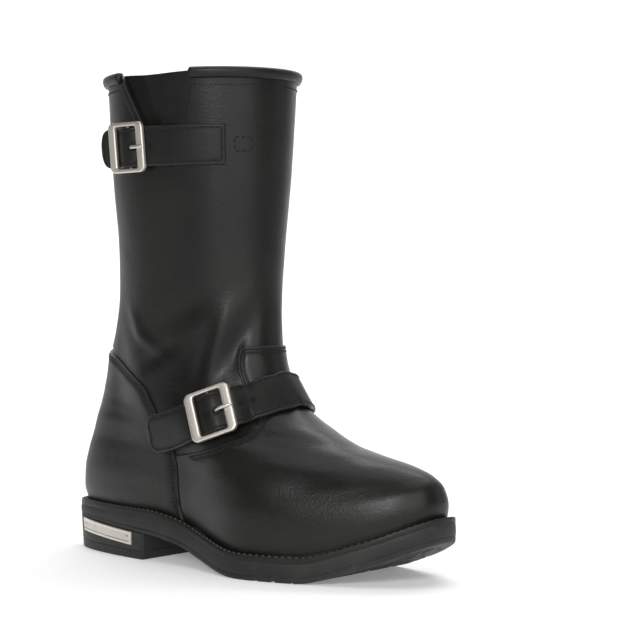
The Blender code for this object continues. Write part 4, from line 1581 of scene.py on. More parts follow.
@dataclass
class Collar:
    """The rolled binding and the folded gusset behind the notch."""

    finishes: Finishes
    leather: float = 0.0022
    rise: float = 0.0022
    proud: float = 0.0034
    drop: float = 0.0040
    gusset: float = 0.0014
    end_round: float = 0.0016
    overlap: float = 0.001
    pleat: float = 0.0022
    sag: float = 0.0012

    def build(self) -> None:
        """Make both pieces."""
        self.build_binding()
        self.build_gusset()

    def build_binding(self) -> None:
        """The bead round the collar, from one edge of the notch to the other."""
        start = self.overlap + edge_turn(NOTCH_FRONT, TOP_ROW)
        stop = 1 + edge_turn(NOTCH_REAR, TOP_ROW) - self.overlap
        turns = np.linspace(start, stop, 260)
        corners = (
            (-0.0001, -self.drop * 1.25),
            (0.62 * self.proud, -self.drop * 1.15),
            (0.98 * self.proud, -0.45 * self.drop),
            (0.92 * self.proud, 0.35 * self.rise),
            (0.45 * self.proud, 0.95 * self.rise),
            (-0.35 * self.leather, self.rise),
            (-1.02 * self.leather, 0.55 * self.rise),
            (-1.10 * self.leather, -0.5 * self.drop),
        )
        section = curved(corners, 4)
        rim = LAST.skin(turns, TOP_ROW)
        out = LAST.normal(turns, TOP_ROW)
        slope = out[:, 2:].copy()
        out[:, 2] = 0
        out = unit(out)
        run = run_length(rim)
        near_end = np.clip(np.minimum(run, run[-1] - run) / self.end_round, 0, 1)
        swell = 0.35 + 0.65 * np.sqrt(np.clip(1 - (1 - near_end) ** 2, 0, 1))
        middle = section.mean(0)
        rings = []
        for k in range(len(turns)):
            s = middle + (section - middle) * swell[k]
            lean = np.where(s[:, 1] < 0, -s[:, 1] * slope[k, 0], 0.0)
            wave = 1 + 0.03 * math.sin(run[k] / 0.011) + 0.02 * math.sin(run[k] / 0.0043)
            reach = s[:, :1] * wave + 0.6 * lean[:, None]
            rings.append(rim[k] + out[k] * reach + np.array((0, 0, 1)) * s[:, 1:])
        m = len(section)
        faces = grid(len(turns), m, True) + end_caps(len(turns), m)
        draft = Draft()
        rub = np.tile(hump(section[:, 1] - 0.0012, 0.0012), len(turns)) * 0.6
        draft.add(np.concatenate(rings), faces, rub=rub)
        looks = (self.finishes.strap,)
        draft.make("collar_bead", looks, Slot.BLACK_LEATHER, ("collar_binding",), 60)

    def build_gusset(self) -> None:
        """The soft panel that closes the notch from inside, with one pleat."""
        rows = np.linspace(12.95, TOP_ROW, 70)
        across = np.linspace(0, 1, 60)
        outer, outward = [], []
        for v in rows:
            front, rear = edge_turn(NOTCH_FRONT, v) + 0.010, edge_turn(NOTCH_REAR, v) - 0.014
            u = front + (rear - front) * across
            height = (v - NOTCH_LOW) / (TOP_ROW - NOTCH_LOW)
            pleat = self.pleat * hump(across - 0.66, 0.13) * max(height, 0)
            deep = self.leather + 0.0004 + pleat
            n = LAST.normal(u, np.full_like(u, v))
            q = LAST.skin(u, np.full_like(u, v)) - n * deep[:, None]
            q[:, 2] -= self.sag * np.sin(np.pi * across) ** 2 * ease((v - 14.2) / 0.8)
            outer.append(q)
            outward.append(n)
        points = np.concatenate(outer)
        solid = shell(turned(grid(len(rows), len(across))), len(points))
        draft = Draft()
        under = points - np.concatenate(outward) * self.gusset
        draft.add(np.vstack((points, under)), solid, rub=0.0)
        draft.make("gusset_panel", (self.finishes.strap,), Slot.BLACK_LEATHER, ("gusset",), 60)


# Straps and buckles


@dataclass(frozen=True)
class Trim:
    """Sizes that both straps and both buckles share."""

    gap: float = 0.0003
    panel_gap: float = 0.00055
    strap: float = 0.0022
    width: float = 0.0258
    chape: float = 0.0014
    counter: float = 0.0019
    length: float = 0.032
    height: float = 0.0330
    bar: float = 0.0063
    rail: float = 0.0027
    plate: float = 0.0024
    centre_bar: float = 0.0018
    prong: float = 0.0024
    corner: float = 0.0042
    inner_corner: float = 0.0018
    dip: float = 0.0022
    section: tuple[tuple[float, float], ...] = (
        (0.0, 0.0), (0.0, 0.58), (0.03, 0.80), (0.08, 0.94), (0.15, 0.99),
        (0.35, 1.0), (0.5, 1.0), (0.65, 1.0),
        (0.85, 0.99), (0.92, 0.94), (0.97, 0.80), (1.0, 0.58), (1.0, 0.0),
    )

    @property
    def window(self) -> float:
        """Half the length of the buckle's opening."""
        return self.length / 2 - self.bar


TRIM = Trim()


def strap_frame(
    place: tuple[float, float], ahead: tuple[float, float], height: float
) -> tuple[Array, Array, Array, Array]:
    """Place of a strap over the upper.

    Args:
        place: turn and row.
        ahead: a place further along it.
        height: distance off the bare skin.

    Returns:
        Point, direction, side and outward direction.
    """
    normal = LAST.normal(*place)
    p = LAST.skin(*place) + normal * height
    q = LAST.skin(*ahead) + LAST.normal(*ahead) * height
    along = unit(q - p)
    side = unit(np.cross(normal, along))
    return p, along, side, unit(np.cross(along, side))


def strap_controls(
    places: Iterable[tuple[float, float]], step: tuple[float, float], height: float
) -> list[tuple[Array, Array]]:
    """Centres and sides of a strap at places on the upper.

    Args:
        places: turns and rows along it.
        step: the way it runs, as a turn and a row.
        height: distance off the bare skin.

    Returns:
        Centre and side at each place.
    """
    controls = []
    for u, v in places:
        point, _, side, _ = strap_frame((u, v), (u + step[0], v + step[1]), height)
        controls.append((point, side))
    return controls


@dataclass
class Buckle:
    """A square frame with a hidden centre bar and a prong.

    Its middle lies at a place, the strap's free end goes ahead, and its back face stands a
    height off the bare skin. It leans by roll about the strap's direction, and its end by
    the strap's tip swings outward by turn, both in degrees.
    """

    name: str
    place: tuple[float, float]
    ahead: tuple[float, float]
    height: float
    roll: float = 0.0
    turn: float = 0.0

    def __post_init__(self) -> None:
        """Work out its middle and its directions."""
        self.centre, along, side, normal = strap_frame(self.place, self.ahead, self.height)
        cos, sin = math.cos(math.radians(self.roll)), math.sin(math.radians(self.roll))
        self.side, normal = side * cos + normal * sin, normal * cos - side * sin
        cos, sin = math.cos(math.radians(self.turn)), math.sin(math.radians(self.turn))
        self.along, self.normal = along * cos + normal * sin, normal * cos - along * sin

    def at(self, a: Array | float, b: Array | float, c: Array | float) -> Array:
        """Points in the buckle's own directions: along, to the side, outward."""
        a, b, c = (k[..., None] for k in np.broadcast_arrays(a, b, c))
        return self.centre + a * self.along + b * self.side + c * self.normal

    @staticmethod
    def loop(half_length: float, half_height: float, radius: float, steps: int = 9) -> Array:
        """A rectangle with rounded corners.

        Args:
            half_length: half its length.
            half_height: half its height.
            radius: of its corners.
            steps: points a corner.

        Returns:
            Pairs of coordinates.
        """
        line = []
        for k, (sx, sy) in enumerate(((1, 1), (-1, 1), (-1, -1), (1, -1))):
            angle = math.pi / 2 * (k + np.linspace(0, 1, steps))
            a = sx * (half_length - radius) + radius * np.cos(angle)
            b = sy * (half_height - radius) + radius * np.sin(angle)
            line.append(np.stack((a, b), -1))
        return np.vstack(line)

    def build(self, finishes: Finishes) -> None:
        """Make the frame with its bar, and the prong.

        Args:
            finishes: the boot's materials.
        """
        outer = self.loop(TRIM.length / 2, TRIM.height / 2, TRIM.corner)
        inner = self.loop(TRIM.window, TRIM.height / 2 - TRIM.rail, TRIM.inner_corner)
        share, level = np.array(TRIM.section).T
        rings, hollow = [], []
        for t, h in zip(share, level):
            plan = outer + (inner - outer) * t
            rings.append(self.at(plan[:, 0], plan[:, 1], h * TRIM.plate))
            hollow.append(np.full(len(plan), 0.75 if h < 0.6 else 0.12 if h < 0.95 else 0.0))
        n = len(outer)
        faces = []
        for i in range(len(rings)):
            a, b = i * n, (i + 1) % len(rings) * n
            faces += [(b + k, b + (k + 1) % n, a + (k + 1) % n, a + k) for k in range(n)]
        draft = Draft()
        draft.add(np.concatenate(rings), faces, hollow=np.concatenate(hollow))
        reach = TRIM.height / 2 - TRIM.rail / 2
        half = TRIM.centre_bar / 2
        path = [
            self.at(0, b, c)
            for b, c in (
                (-reach, TRIM.plate / 2), (-reach + TRIM.dip, -half * 1.5),
                (reach - TRIM.dip, -half * 1.5), (reach, TRIM.plate / 2),
            )
        ]
        self.rod(draft, curved(path, 8), np.full(25, half), self.along)
        looks = (finishes.nickel,)
        draft.make(self.name + "_frame", looks, Slot.ANTIQUE_NICKEL, (self.name,), 40)
        self.build_prong(finishes)

    def build_prong(self, finishes: Finishes) -> None:
        """The tapered prong, from beside the centre bar over the far bar.

        Args:
            finishes: the boot's materials.
        """
        r = TRIM.prong / 2
        w = TRIM.window
        over = TRIM.plate + r + TRIM.gap
        stations = (
            (-TRIM.centre_bar / 2 - r - TRIM.gap, -0.9 * r), (-0.42 * w, 0.25 * over),
            (-0.75 * w, 0.90 * over), (-w, over), (-w - 0.55 * TRIM.bar, over),
            (-w - 1.1 * TRIM.bar, over - 0.2 * r),
        )
        line = curved([self.at(a, 0, c) for a, c in stations], 8)
        at = np.linspace(0, 5, len(line))
        radius = np.interp(at, range(6), (0.8 * r, r, r, r, 0.95 * r, 0.5 * r))
        radius[-4:] *= (0.95, 0.85, 0.62, 0.3)
        draft = Draft()
        self.rod(draft, line, radius, self.side)
        node = self.name.replace("buckle", "prong")
        draft.make(node + "_pin", (finishes.nickel,), Slot.ANTIQUE_NICKEL, (node,), 40)

    @staticmethod
    def rod(draft: Draft, line: Array, radius: Array, across: Array, sides: int = 18) -> None:
        """A round bar of changing thickness along a line.

        Args:
            draft: takes the bar.
            line: its middle line.
            radius: its radius at each point of the line.
            across: a direction across it.
            sides: points round it.
        """
        along = unit(np.gradient(line, axis=0))
        lean = dot(np.broadcast_to(across, along.shape), along)
        first = unit(across - along * lean[:, None])
        second = np.cross(along, first)
        angle = 2 * np.pi * np.arange(sides) / sides
        cos, sin = np.cos(angle)[None, :, None], np.sin(angle)[None, :, None]
        circle = first[:, None] * cos + second[:, None] * sin
        points = line[:, None] + circle * np.asarray(radius)[: len(line), None, None]
        faces = grid(len(line), sides, True) + end_caps(len(line), sides)
        draft.add(points.reshape(-1, 3), faces, hollow=0.1)


@dataclass
class Strap:
    """A strap with stitched edges, a rounded tip and its buckle."""

    name: str
    finishes: Finishes
    buckle: Buckle
    before: list[tuple[Array, Array]]
    after: list[tuple[Array, Array]]
    square_rows: int = 2
    tip: float = 0.010
    tip_power: float = 0.85
    inset: float = 0.0021
    hole: float = 0.00165
    prong_hole: float = 0.0019

    def ribbon(self) -> tuple[Ribbon, float]:
        """Lay the strap under the buckle's bars and over its centre bar.

        Returns:
            The strap's ground, and how far along it the buckle's middle lies.
        """
        at, side = self.buckle.at, self.buckle.side
        w = TRIM.window
        under = -TRIM.strap - 2 * TRIM.gap
        edge, near, far = TRIM.length / 2, 0.38 * w, 0.84 * w
        profile = (
            (-edge, under), (-far, under), (-near, -0.5 * TRIM.gap), (0, TRIM.gap),
            (near, -0.5 * TRIM.gap), (far, under), (edge, under),
        )
        inner = [(at(a, 0, c), side) for a, c in profile]
        laid = Ribbon.through(self.before + inner + self.after, 900)
        away = np.linalg.norm(laid.line - self.buckle.centre, axis=1)
        middle = laid.run[np.argmin(away)]
        return laid, float(middle)

    def circle(self, at: float, radius: float) -> Array:
        """A round hole in the strap's middle."""
        angle = np.linspace(0, 2 * np.pi, 20, endpoint=False)
        return np.column_stack((at + radius * np.cos(angle), radius * np.sin(angle)))

    def build(self, holes: Sequence[float]) -> None:
        """Cut, punch and sew the strap.

        Args:
            holes: distances of the punched holes from the buckle's middle.
        """
        ground, middle = self.ribbon()
        half = TRIM.width / 2
        end = ground.length - self.tip
        angle = np.linspace(-math.pi / 2, math.pi / 2, 40)
        reach = self.tip * np.abs(np.cos(angle)) ** self.tip_power
        side = np.sign(np.sin(angle)) * np.abs(np.sin(angle)) ** self.tip_power
        tip = np.column_stack((end + reach, half * side))
        lower = curved(((0.0, -half), (end, -half)), 200)
        upper = curved(((end, half), (0.0, half)), 200)
        sewn = curved(((0.0, half), (0.0, -half)), 30)
        inset = self.inset
        seam = step_in(ground, np.vstack((lower, tip[1:-1], upper)), inset)
        seam = seam[(seam[:, 0] > inset) & (np.abs(seam[:, 1]) < half - 0.8 * inset)]
        seams = [even(ground, seam, 0.0012)]
        for k in range(self.square_rows):
            row = inset * (1 + k)
            cross = curved(((row, half - inset), (row, -half + inset)), 20)
            seams.append(even(ground, cross, 0.0012))
        punched = [self.circle(middle + d, self.hole) for d in holes]
        punched.append(self.circle(middle - 0.40 * TRIM.window, self.prong_hole))
        edges = [Edge(run) for run in (lower, tip, upper, sewn)]
        sheet = Sheet(ground, edges, TRIM.strap, seams, punched, 0.0019, 0.0, 0.00022)
        sheet.build(self.name + "_leather", self.finishes.strap, self.name)
        sheet.sew(self.name + "_stitches", self.finishes.thread)
        self.buckle.build(self.finishes)


@dataclass
class Tab:
    """The short holding tab under a strap's end."""

    name: str
    finishes: Finishes
    controls: list[tuple[Array, Array]]
    width: float = 0.014

    def build(self) -> None:
        """Cut the tab."""
        ground = Ribbon.through(self.controls, 120)
        half, end = self.width / 2, ground.length
        corners = [(0.0, -half), (end, -half), (end, half), (0.0, half)]
        edges = [Edge(curved((a, b), 20)) for a, b in zip(corners, corners[1:] + corners[:1])]
        sheet = Sheet(ground, edges, TRIM.chape, sink=0.0)
        sheet.build(self.name + "_leather", self.finishes.strap, self.name)


@dataclass
class AnkleStrap:
    """The strap over the instep, with its buckle and holding tab."""

    finishes: Finishes
    line: tuple[tuple[float, float], ...] = (
        (0.0, 8.25), (0.06, 8.12), (0.10, 7.9), (0.14, 7.68), (0.185, 7.15), (0.235, 6.15),
    )
    turns: tuple[float, ...] = (
        0.228, 0.205, 0.18, 0.15, 0.12, 0.09, 0.06, 0.03, 0.0, -0.03, -0.06, -0.09, -0.112,
    )
    end: tuple[tuple[float, float], ...] = ((-0.258, 5.65), (-0.28, 5.18), (-0.298, 4.82))
    tab: tuple[tuple[float, float], ...] = (
        (-0.20, 6.88), (-0.214, 6.6), (-0.228, 6.3), (-0.242, 6.0),
    )
    bridge: float = 0.0012
    raised: float = 0.0018
    roll: float = -14.0
    holes: tuple[float, ...] = (0.0028, -0.0205, -0.0305)

    def row(self, u: float) -> float:
        """Row of the strap's middle line; on the inner side it lies a little lower.

        Args:
            u: turn round the upper.

        Returns:
            The row position.
        """
        drop = 0.5 * float(ease((u - 0.12) / 0.1)) if u > 0 else 0.0
        return float(np.interp(abs(u), *zip(*self.line))) - drop

    def build(self) -> None:
        """Make the strap, the buckle and the tab."""
        level = TRIM.panel_gap + TRIM.counter + 2 * TRIM.gap
        under = level + TRIM.chape + 2 * TRIM.gap
        height = under + TRIM.strap + 2 * TRIM.gap + self.raised
        name, place, ahead = "ankle_buckle", (-0.183, 7.04), (-0.207, 6.59)
        buckle = Buckle(name, place, ahead, height, roll=self.roll)
        before = []
        for u in self.turns:
            bridge = self.bridge * float(ease((0.17 - abs(u)) / 0.10))
            here, there = (u, self.row(u)), (u - 0.01, self.row(u - 0.01))
            point, _, side, _ = strap_frame(here, there, level + bridge)
            before.append((point, side))
        after = strap_controls(self.end, (-0.01, -0.2), under)
        Strap("ankle_strap", self.finishes, buckle, before, after).build(self.holes)
        tail = strap_controls(self.tab, (-0.01, -0.2), level)
        Tab("ankle_chape", self.finishes, tail).build()


@dataclass
class ShaftStrap:
    """The adjusting strap at the notch, with its buckle and holding tab."""

    finishes: Finishes
    row: float = 13.56
    turns: tuple[float, ...] = (-0.115, -0.13, -0.145, -0.16, -0.175, -0.19, -0.203, -0.212)
    tab: tuple[float, ...] = (-0.302, -0.32, -0.34, -0.36)
    end: tuple[tuple[float, float], ...] = ((0.006, 0.0004), (0.012, 0.0014))
    raised: float = 0.0006
    turn: float = 10.0
    holes: tuple[float, ...] = (-0.0195,)

    def build(self) -> None:
        """Make the strap, the buckle and the tab."""
        level = 2 * TRIM.gap
        under = level + TRIM.chape + 2 * TRIM.gap
        height = under + TRIM.strap + TRIM.gap + self.raised
        name, place, ahead = "shaft_buckle", (-0.281, self.row), (-0.303, self.row)
        buckle = Buckle(name, place, ahead, height, turn=self.turn)
        before = strap_controls([(u, self.row) for u in self.turns], (-0.01, 0.0), level)
        last = buckle.at(TRIM.length / 2, 0, -TRIM.strap - 2 * TRIM.gap)
        after = [
            (last + buckle.along * reach - buckle.normal * bend, buckle.side)
            for reach, bend in self.end
        ]
        strap = Strap("shaft_strap", self.finishes, buckle, before, after, square_rows=1)
        strap.build(self.holes)
        tail = strap_controls([(u, self.row) for u in self.tab], (-0.01, 0.0), level)
        Tab("shaft_chape", self.finishes, tail).build()


# Sole


@dataclass
class Bottom:
    """Welt, outsole, heel block, insole and the plate on the heel."""

    finishes: Finishes
    welt_width: float = 0.0068
    welt: float = 0.0034
    leather: float = 0.0022
    groove_width: float = 0.0016
    groove_depth: float = 0.0014
    groove_count: int = 6
    insole_rise: float = 0.0012
    points: int = 640
    tread_pitch: float = 0.0125
    tread_depth: float = 0.0012
    corner: float = 0.0016
    badge_height: float = 0.0092
    badge_span: tuple[float, float] = (0.29, 0.89)
    pin_inset: float = 0.0042
    pin_rise: float = 0.00045
    rim_rise: float = 0.0005

    def ring(self, grow: float, count: int | None = None) -> Array:
        """The plan outline, moved outward by grow."""
        turns = np.arange(count or self.points) / (count or self.points)
        return LAST.outline(turns, grow)

    def seam(self, x: Array) -> Array:
        """Height of the welt's lower face."""
        return LAST.deck(x) - self.welt

    def rings(self, shape: Sequence[tuple[float, Callable[[Array], Array]]]) -> list[Array]:
        """Rings round the foot.

        Args:
            shape: for each ring, how far it stands out and its height over x.

        Returns:
            Points of each ring, in the boot's frame.
        """
        made = []
        for grow, height in shape:
            plan = self.ring(grow)
            made.append(np.column_stack((plan, height(plan[:, 0]))) - LAST.origin)
        return made

    def build(self) -> None:
        """Make every piece of the bottom."""
        self.build_welt()
        self.build_outsole()
        self.build_heel()
        self.build_insole()
        self.build_badge()

    def build_welt(self) -> None:
        """The welt, with a recessed channel for its stitches, painted shade on its top beside the
        upper, and the stitches.
        """
        w, t = self.welt_width, self.welt
        deck, seam = LAST.deck, self.seam
        shape = [
            (w, lambda x: seam(x) - 0.0002), (w + 0.0001, lambda x: seam(x) + 0.3 * t),
            (w, lambda x: deck(x) - 0.22 * t), (w - 0.0002, lambda x: deck(x) - 0.07 * t),
            (w - 0.0007, deck), (w - 0.0018, lambda x: deck(x) - 0.02 * t),
            (w - 0.0022, lambda x: deck(x) - 0.16 * t), (w - 0.0034, lambda x: deck(x) - 0.20 * t),
            (w - 0.0040, lambda x: deck(x) - 0.10 * t), (0.0012, lambda x: deck(x) - 0.06 * t),
            (-self.leather - 0.0004, deck), (-self.leather - 0.0004, lambda x: seam(x) + 0.0001),
        ]
        rings = self.rings(shape)
        m, n = len(rings), self.points
        faces = []
        for i in range(m):
            a, b = i * n, (i + 1) % m * n
            faces += [(a + (k + 1) % n, b + (k + 1) % n, b + k, a + k) for k in range(n)]
        draft = Draft()
        rub = np.repeat([0, 0.1, 0.4, 1.0, 0.8, 0.3, 0, 0, 0, 0, 0, 0], n)
        # Painted shade: the seam mark darkens the welt's top from just inside its lip to the
        # upper, where shade falls between upper and welt.
        dark = np.repeat([0, 0, 0, 0, 0.3, 1.0, 1.0, 1.0, 1.0, 1.0, 1.0, 0], n)
        draft.add(np.concatenate(rings), faces, rub=rub, seam=dark)
        draft.make("welt_strip", (self.finishes.welt,), Slot.INNER_LEATHER, ("welt",), 50)
        plan = looped(self.ring(w - 0.0028))
        line = np.column_stack((plan, deck(plan[:, 0]) - 0.14 * t)) - LAST.origin
        x = np.linspace(0, LAST.length, 400)
        tilt = np.interp(plan[:, 0], x, np.gradient(deck(x), LAST.length / 399))
        out = unit(np.column_stack((-tilt, np.zeros(len(plan)), np.ones(len(plan)))))
        threads = Draft()
        sew(threads, line, out, WELT_STITCH)
        threads.make("welt_stitches", (self.finishes.welt_thread,), Slot.INNER_LEATHER)

    def grooves(self, x: Array) -> Array:
        """Depth of the cross grooves in the sole's lower edge.

        Args:
            x: distances from the back of the outsole.

        Returns:
            One depth each.
        """
        total = np.zeros_like(x)
        for k in range(self.groove_count):
            at = LAST.length * (0.66 + 0.20 * k / (self.groove_count - 1))
            inside = ease((self.groove_width * 0.75 - abs(x - at)) / 0.0005)
            total = np.maximum(total, self.groove_depth * inside)
        return total

    def underside(self, x: Array) -> Array:
        """Lower edge of the outsole, on the heel block or over the floor."""
        low = np.where(x < LAST.heel_length, LAST.heel_top(x), LAST.tread(x))
        return low + self.grooves(x)

    def lugs(self, spots: Array, edge: Array) -> Array:
        """Depth of the tread between its lugs.

        Args:
            spots: plan points.
            edge: their distance to the outline.

        Returns:
            One depth a point.
        """
        x, y = spots[:, 0], spots[:, 1]
        aside = abs(y - LAST.middle(x))
        phase = (x + 0.55 * aside) / self.tread_pitch
        bar = abs(phase - np.round(phase)) * self.tread_pitch
        cross = ease((0.0020 - bar) / 0.0009)
        spine = ease((0.0017 - aside) / 0.0008)
        inside = ease((edge - 0.006) / 0.001)
        fore = ease((x - 0.47 * LAST.length) / 0.004)
        return self.tread_depth * np.maximum(cross, spine) * inside * fore

    def fill(
        self, border: Array, side: float, step: float, room: float
    ) -> tuple[Array, Array, list[Sequence[int]]]:
        """Fill a plan outline with triangles.

        Args:
            border: the outline.
            side: outer side's distance from the middle.
            step: distance between the points inside.
            room: least distance from them to the outline.

        Returns:
            The points, their distance to the outline, and the faces.
        """
        a, b = np.meshgrid(np.arange(0, LAST.length, step), np.arange(-side, 0.06, step))
        spots = np.stack((a.ravel(), b.ravel()), -1)
        spots = spots[within(spots, border)]
        rim = level_points(looped(border))
        spots = spots[distance_to(level_points(spots), rim) > room]
        made, faces = cut_faces(np.vstack((border, spots)), [border])
        return made, distance_to(level_points(made), rim), faces

    def build_outsole(self) -> None:
        """The outsole: buffed side, a fine line above the tread, and its lugs."""
        w = self.welt_width
        low, seam = self.underside, self.seam

        def between(share: float) -> Callable[[Array], Array]:
            """Height at a share of the way from the lower edge to the welt."""
            return lambda x: low(x) + share * (seam(x) - 0.0003 - low(x))

        shape = [
            (w - 0.0010, lambda x: low(x)), (w - 0.0002, lambda x: low(x) + 0.0004),
            (w + 0.0001, lambda x: low(x) + 0.0014), (w + 0.0001, between(0.26)),
            (w - 0.0001, between(0.285)), (w + 0.0001, between(0.31)),
            (w + 0.0003, between(0.55)), (w + 0.0002, between(0.85)),
            (w, between(0.97)), (w - 0.0001, between(1.0)),
        ]
        rings = self.rings(shape)
        n = self.points
        faces = grid(len(rings), n, True)
        faces.append(tuple(range((len(rings) - 1) * n, len(rings) * n)))
        border = rings[0][:, :2] + LAST.origin[:2]
        made, edge, tris = self.fill(border, 0.065, 0.0022, 0.0012)
        height = self.underside(made[:, 0]) + self.lugs(made, edge)
        height[:n] = rings[0][:, 2]
        bottom = np.column_stack((made, height)) - LAST.origin
        draft = Draft()
        rub = np.repeat([0.9, 0.7, 0.3, 0.1, 0.0, 0.1, 0.1, 0.2, 0.5, 0.6], n)
        points = np.concatenate(rings)
        past = len(points) - n
        faces += turned([[k if k < n else k + past for k in f] for f in tris])
        rub = np.concatenate((rub, np.full(len(bottom) - n, 0.2)))
        draft.add(np.vstack((points, bottom[n:])), faces, rub=rub)
        draft.make("outsole_rubber", (self.finishes.sole,), Slot.BLACK_RUBBER, ("outsole",), 35)

    def heel_line(self) -> Array:
        """The heel's plan outline, closed by its front face with softened corners.

        Returns:
            Plan points, measured from the back of the outsole.
        """
        edge = self.ring(self.welt_width)
        rear = edge[edge[:, 0] < LAST.heel_length - self.corner]
        order = np.argsort(np.arctan2(rear[:, 1], rear[:, 0] - LAST.heel_length))
        rear = rear[order]
        first = rear[rear[:, 1] > 0]
        last = rear[rear[:, 1] <= 0]
        line = np.vstack((first[np.argsort(-first[:, 0])], last[np.argsort(last[:, 0])]))
        bend = np.linspace(0.2, math.pi / 2, 5)
        forward = LAST.heel_length - self.corner * (1 - np.sin(bend))
        inward = self.corner * (1 - np.cos(bend))
        low = np.column_stack((forward, line[-1, 1] + inward))
        high = np.column_stack((forward, line[0, 1] - inward))
        across = np.linspace(low[-1], high[-1], 30)[1:-1]
        return np.vstack((line, low, across, high[::-1]))

    def taper(self, plan: Array, share: Array | float) -> Array:
        """How far the heel's side has moved inward.

        Args:
            plan: plan points of its outline at the top.
            share: share of the way down.

        Returns:
            One shift a point.
        """
        middle = np.array((LAST.heel_length / 2, 0.0))
        half = np.array((LAST.heel_length / 2, LAST.ball_width / 3))
        return LAST.heel_taper * np.clip((plan - middle) / half, -1, 1) * share

    def build_heel(self) -> None:
        """The heel block: tapered, with a top piece and softened edges."""
        line = self.heel_line()
        n = len(line)
        inward = unit(np.array((LAST.heel_length / 2, 0.0)) - line)
        rings, rub = [], []
        levels = (
            (0.0, 0.0008, 0.9), (0.0004, 0.0002, 0.8), (0.0012, 0.0, 0.3), (0.0056, 0.0, 0.1),
            (0.0059, 0.0003, 0.0), (0.0062, 0.0, 0.1), (0.012, 0.0, 0.0), (None, 0.0, 0.2),
        )
        for z, draw, wear in levels:
            top = LAST.heel_top(line[:, 0]) - 0.0002
            height = top if z is None else np.full(n, z)
            share = 1 - height / top
            plan = line - self.taper(line, share[:, None]) + inward * draw
            rings.append(np.column_stack((plan, height)) - LAST.origin)
            rub.append(np.full(n, wear))
        faces = grid(len(rings), n, True) + end_caps(len(rings), n)
        draft = Draft()
        draft.add(np.concatenate(rings), faces, rub=np.concatenate(rub))
        draft.make("heel_block", (self.finishes.heel,), Slot.BLACK_RUBBER, ("heel",), 35)

    def build_insole(self) -> None:
        """The sock inside the boot, slightly dished."""
        grow = -self.leather - 0.0012
        made, edge, tris = self.fill(self.ring(grow, 260), 0.06, 0.004, 0.002)
        top = LAST.deck(made[:, 0]) + self.insole_rise - 0.0006 * ease(edge / 0.03)
        under = self.seam(made[:, 0]) + 0.0004
        points = np.vstack([np.column_stack((made, z)) for z in (top, under)])
        draft = Draft()
        draft.add(points - LAST.origin, shell(tris, len(made)))
        draft.make("insole_sock", (self.finishes.lining,), Slot.INNER_LEATHER, ("insole",), 50)

    def build_badge(self) -> None:
        """The bare plate on the heel: a raised rim, a flat field and two pins."""
        edge = self.ring(self.welt_width)
        outer = edge[(edge[:, 0] < LAST.heel_length) & (edge[:, 1] < 0)]
        outer = outer[np.argsort(outer[:, 0])]
        run = run_length(outer)
        first, last = self.badge_span
        reach = np.linspace(first * run[-1], last * run[-1], 90)
        line = np.stack([np.interp(reach, run, outer[:, k]) for k in (0, 1)], -1)
        along = unit(np.gradient(line, axis=0))
        out = np.stack((along[:, 1], -along[:, 0]), -1)
        tall = self.badge_height
        downs = np.linspace(0, tall, 22)
        length = reach[-1] - reach[0]
        a, b = np.meshgrid((reach - reach[0]), downs)
        side = np.minimum(np.minimum(a, length - a), np.minimum(b, tall - b))
        pins = np.zeros_like(side)
        for at in (self.pin_inset, length - self.pin_inset):
            d = np.hypot(a - at, b - tall / 2)
            pins += self.pin_rise * ease((0.0015 - d) / 0.0006)
        rim = ease((0.0011 - abs(side - 0.0011)) / 0.0005) * ease(side / 0.0004)
        face = 0.0006 + self.rim_rise * rim + pins
        face -= 0.0004 * (1 - ease(side / 0.0004))
        top = LAST.heel_top(line[:, 0]) - 0.0003
        rings, backs = [], []
        for i, down in enumerate(downs):
            plan = line - self.taper(line, down / LAST.heel_height)
            raised = plan + out * 0.0004 + out * face[i][:, None]
            rings.append(np.column_stack((raised, top - down)) - LAST.origin)
            backs.append(np.column_stack((plan - out * 0.0002, top - down)) - LAST.origin)
        solid = shell(turned(grid(len(downs), len(line))), len(downs) * len(line))
        hollow = (1 - ease((face - 0.0005) / 0.0004)).ravel() * 0.35
        draft = Draft()
        draft.add(np.concatenate(rings + backs), solid, hollow=np.tile(hollow, 2))
        looks = (self.finishes.plate,)
        draft.make("heel_plate", looks, Slot.ANTIQUE_NICKEL, ("heel_badge",), 40)


# Studio


@dataclass(frozen=True)
class Lamp:
    """One soft light: where it stands, what it faces, how large and how strong it is."""

    name: str
    place: tuple[float, float, float]
    aim: tuple[float, float, float]
    size: tuple[float, float]
    power: float

    def build(self) -> None:
        """Hang the light."""
        data = bpy.data.lights.new(self.name, "AREA")
        data.shape = "RECTANGLE"
        data.size, data.size_y = self.size
        data.energy = self.power
        lamp = bpy.data.objects.new(self.name, data)
        lamp.location = self.place
        away = Vector(self.place) - Vector(self.aim)
        lamp.rotation_euler = away.to_track_quat("Z", "Y").to_euler()
        bpy.context.scene.collection.objects.link(lamp)


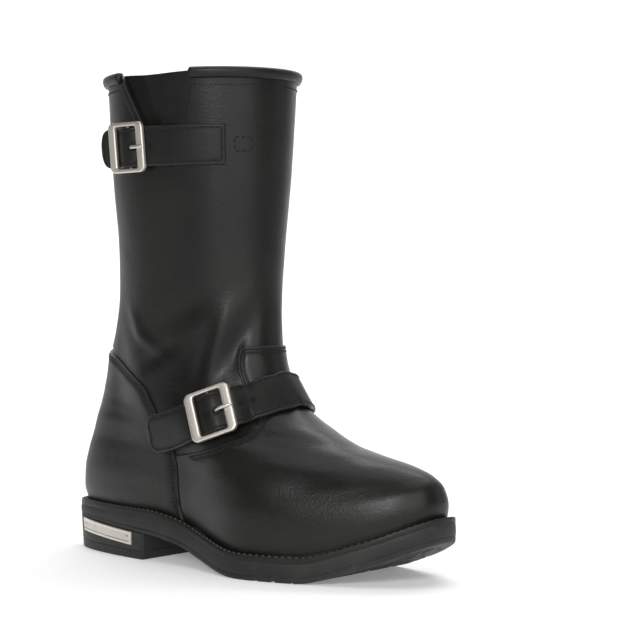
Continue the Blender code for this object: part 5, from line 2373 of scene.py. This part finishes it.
@dataclass
class Studio:
    """Camera at the photo's angle, a pale floor that sweeps up behind, and soft light."""

    azimuth: float = math.radians(39.24)
    elevation: float = math.radians(1.29)
    target: tuple[float, float, float] = (0.1679, 0.0, 0.16077)
    distance: float = 1.19
    lens: float = 104.36
    floor_front: float = 4.0
    floor_side: float = 5.0
    sweep_start: float = 1.6
    sweep: float = 0.9
    wall_top: float = 3.5
    world: float = 0.06

    def build(self) -> None:
        """Set up everything that isn't the boot."""
        self.build_camera()
        self.build_backdrop()
        self.build_light()

    def build_camera(self) -> None:
        """Aim the camera."""
        a, e = self.azimuth, self.elevation
        back = Vector((math.sin(a) * math.cos(e), -math.cos(a) * math.cos(e), math.sin(e)))
        data = bpy.data.cameras.new("camera")
        data.sensor_width, data.lens = 36.0, self.lens
        camera = bpy.data.objects.new("camera", data)
        camera.location = Vector(self.target) + back * self.distance
        camera.rotation_euler = back.to_track_quat("Z", "Y").to_euler()
        bpy.context.scene.collection.objects.link(camera)
        bpy.context.scene.camera = camera

    def build_backdrop(self) -> None:
        """The floor, swept up into a wall on the far side."""
        points = []
        start, radius = self.sweep_start, self.sweep
        profile = [(-self.floor_front, 0.0), (start, 0.0)]
        for t in np.linspace(0.1, math.pi / 2, 14):
            profile.append((start + radius * math.sin(t), radius * (1 - math.cos(t))))
        profile.append((start + radius, self.wall_top))
        away = np.array((-math.sin(self.azimuth), math.cos(self.azimuth)))
        across = np.array((away[1], -away[0]))
        for side in (-self.floor_side, self.floor_side):
            for depth, z in profile:
                plan = away * depth + across * side
                points.append((plan[0], plan[1], z))
        n = len(profile)
        faces = [(k + 1, k, n + k, n + k + 1) for k in range(n - 1)]
        mesh = bpy.data.meshes.new("floor")
        mesh.from_pydata(points, [], faces)
        mesh.shade_smooth()
        mesh.materials.append(Paper().build())
        floor = bpy.data.objects.new("floor", mesh)
        bpy.context.scene.collection.objects.link(floor)

    def build_light(self) -> None:
        """A pale world and five soft lights."""
        world = bpy.data.worlds.new("studio")
        world.use_nodes = True
        background = world.node_tree.nodes["Background"]
        background.inputs["Color"].default_value = (1.0, 1.0, 1.0, 1.0)
        background.inputs["Strength"].default_value = self.world
        bpy.context.scene.world = world
        bpy.context.scene.view_settings.view_transform = "Standard"
        for lamp in (
            Lamp("top_light", (0.0, 0.3, 2.3), (0.1, 0.1, 0.0), (2.4, 2.4), 33.0),
            Lamp("key_light", (1.70, -1.02, 0.75), (0.12, 0.0, 0.16), (1.5, 1.2), 15.0),
            Lamp("spot_light", (0.72, -1.48, 0.72), (0.2, 0.0, 0.05), (0.16, 0.36), 12.0),
            Lamp("rim_light", (1.3, 1.2, 0.9), (0.1, 0.0, 0.15), (0.8, 1.4), 2.5),
            Lamp("wall_light", (-0.6, 1.2, 2.4), (-1.2, 2.0, 0.6), (3.0, 1.0), 38.0),
        ):
            lamp.build()


def main() -> None:
    """Dress the boot, piece by piece, and light it."""
    logging.basicConfig(level=logging.INFO, format="%(asctime)s %(name)s %(message)s")
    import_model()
    finishes = Finishes()
    Shaft(finishes).build()
    Overlays(finishes).build()
    Collar(finishes).build()
    AnkleStrap(finishes).build()
    ShaftStrap(finishes).build()
    Bottom(finishes).build()
    Studio().build()


if __name__ == "__main__":
    main()
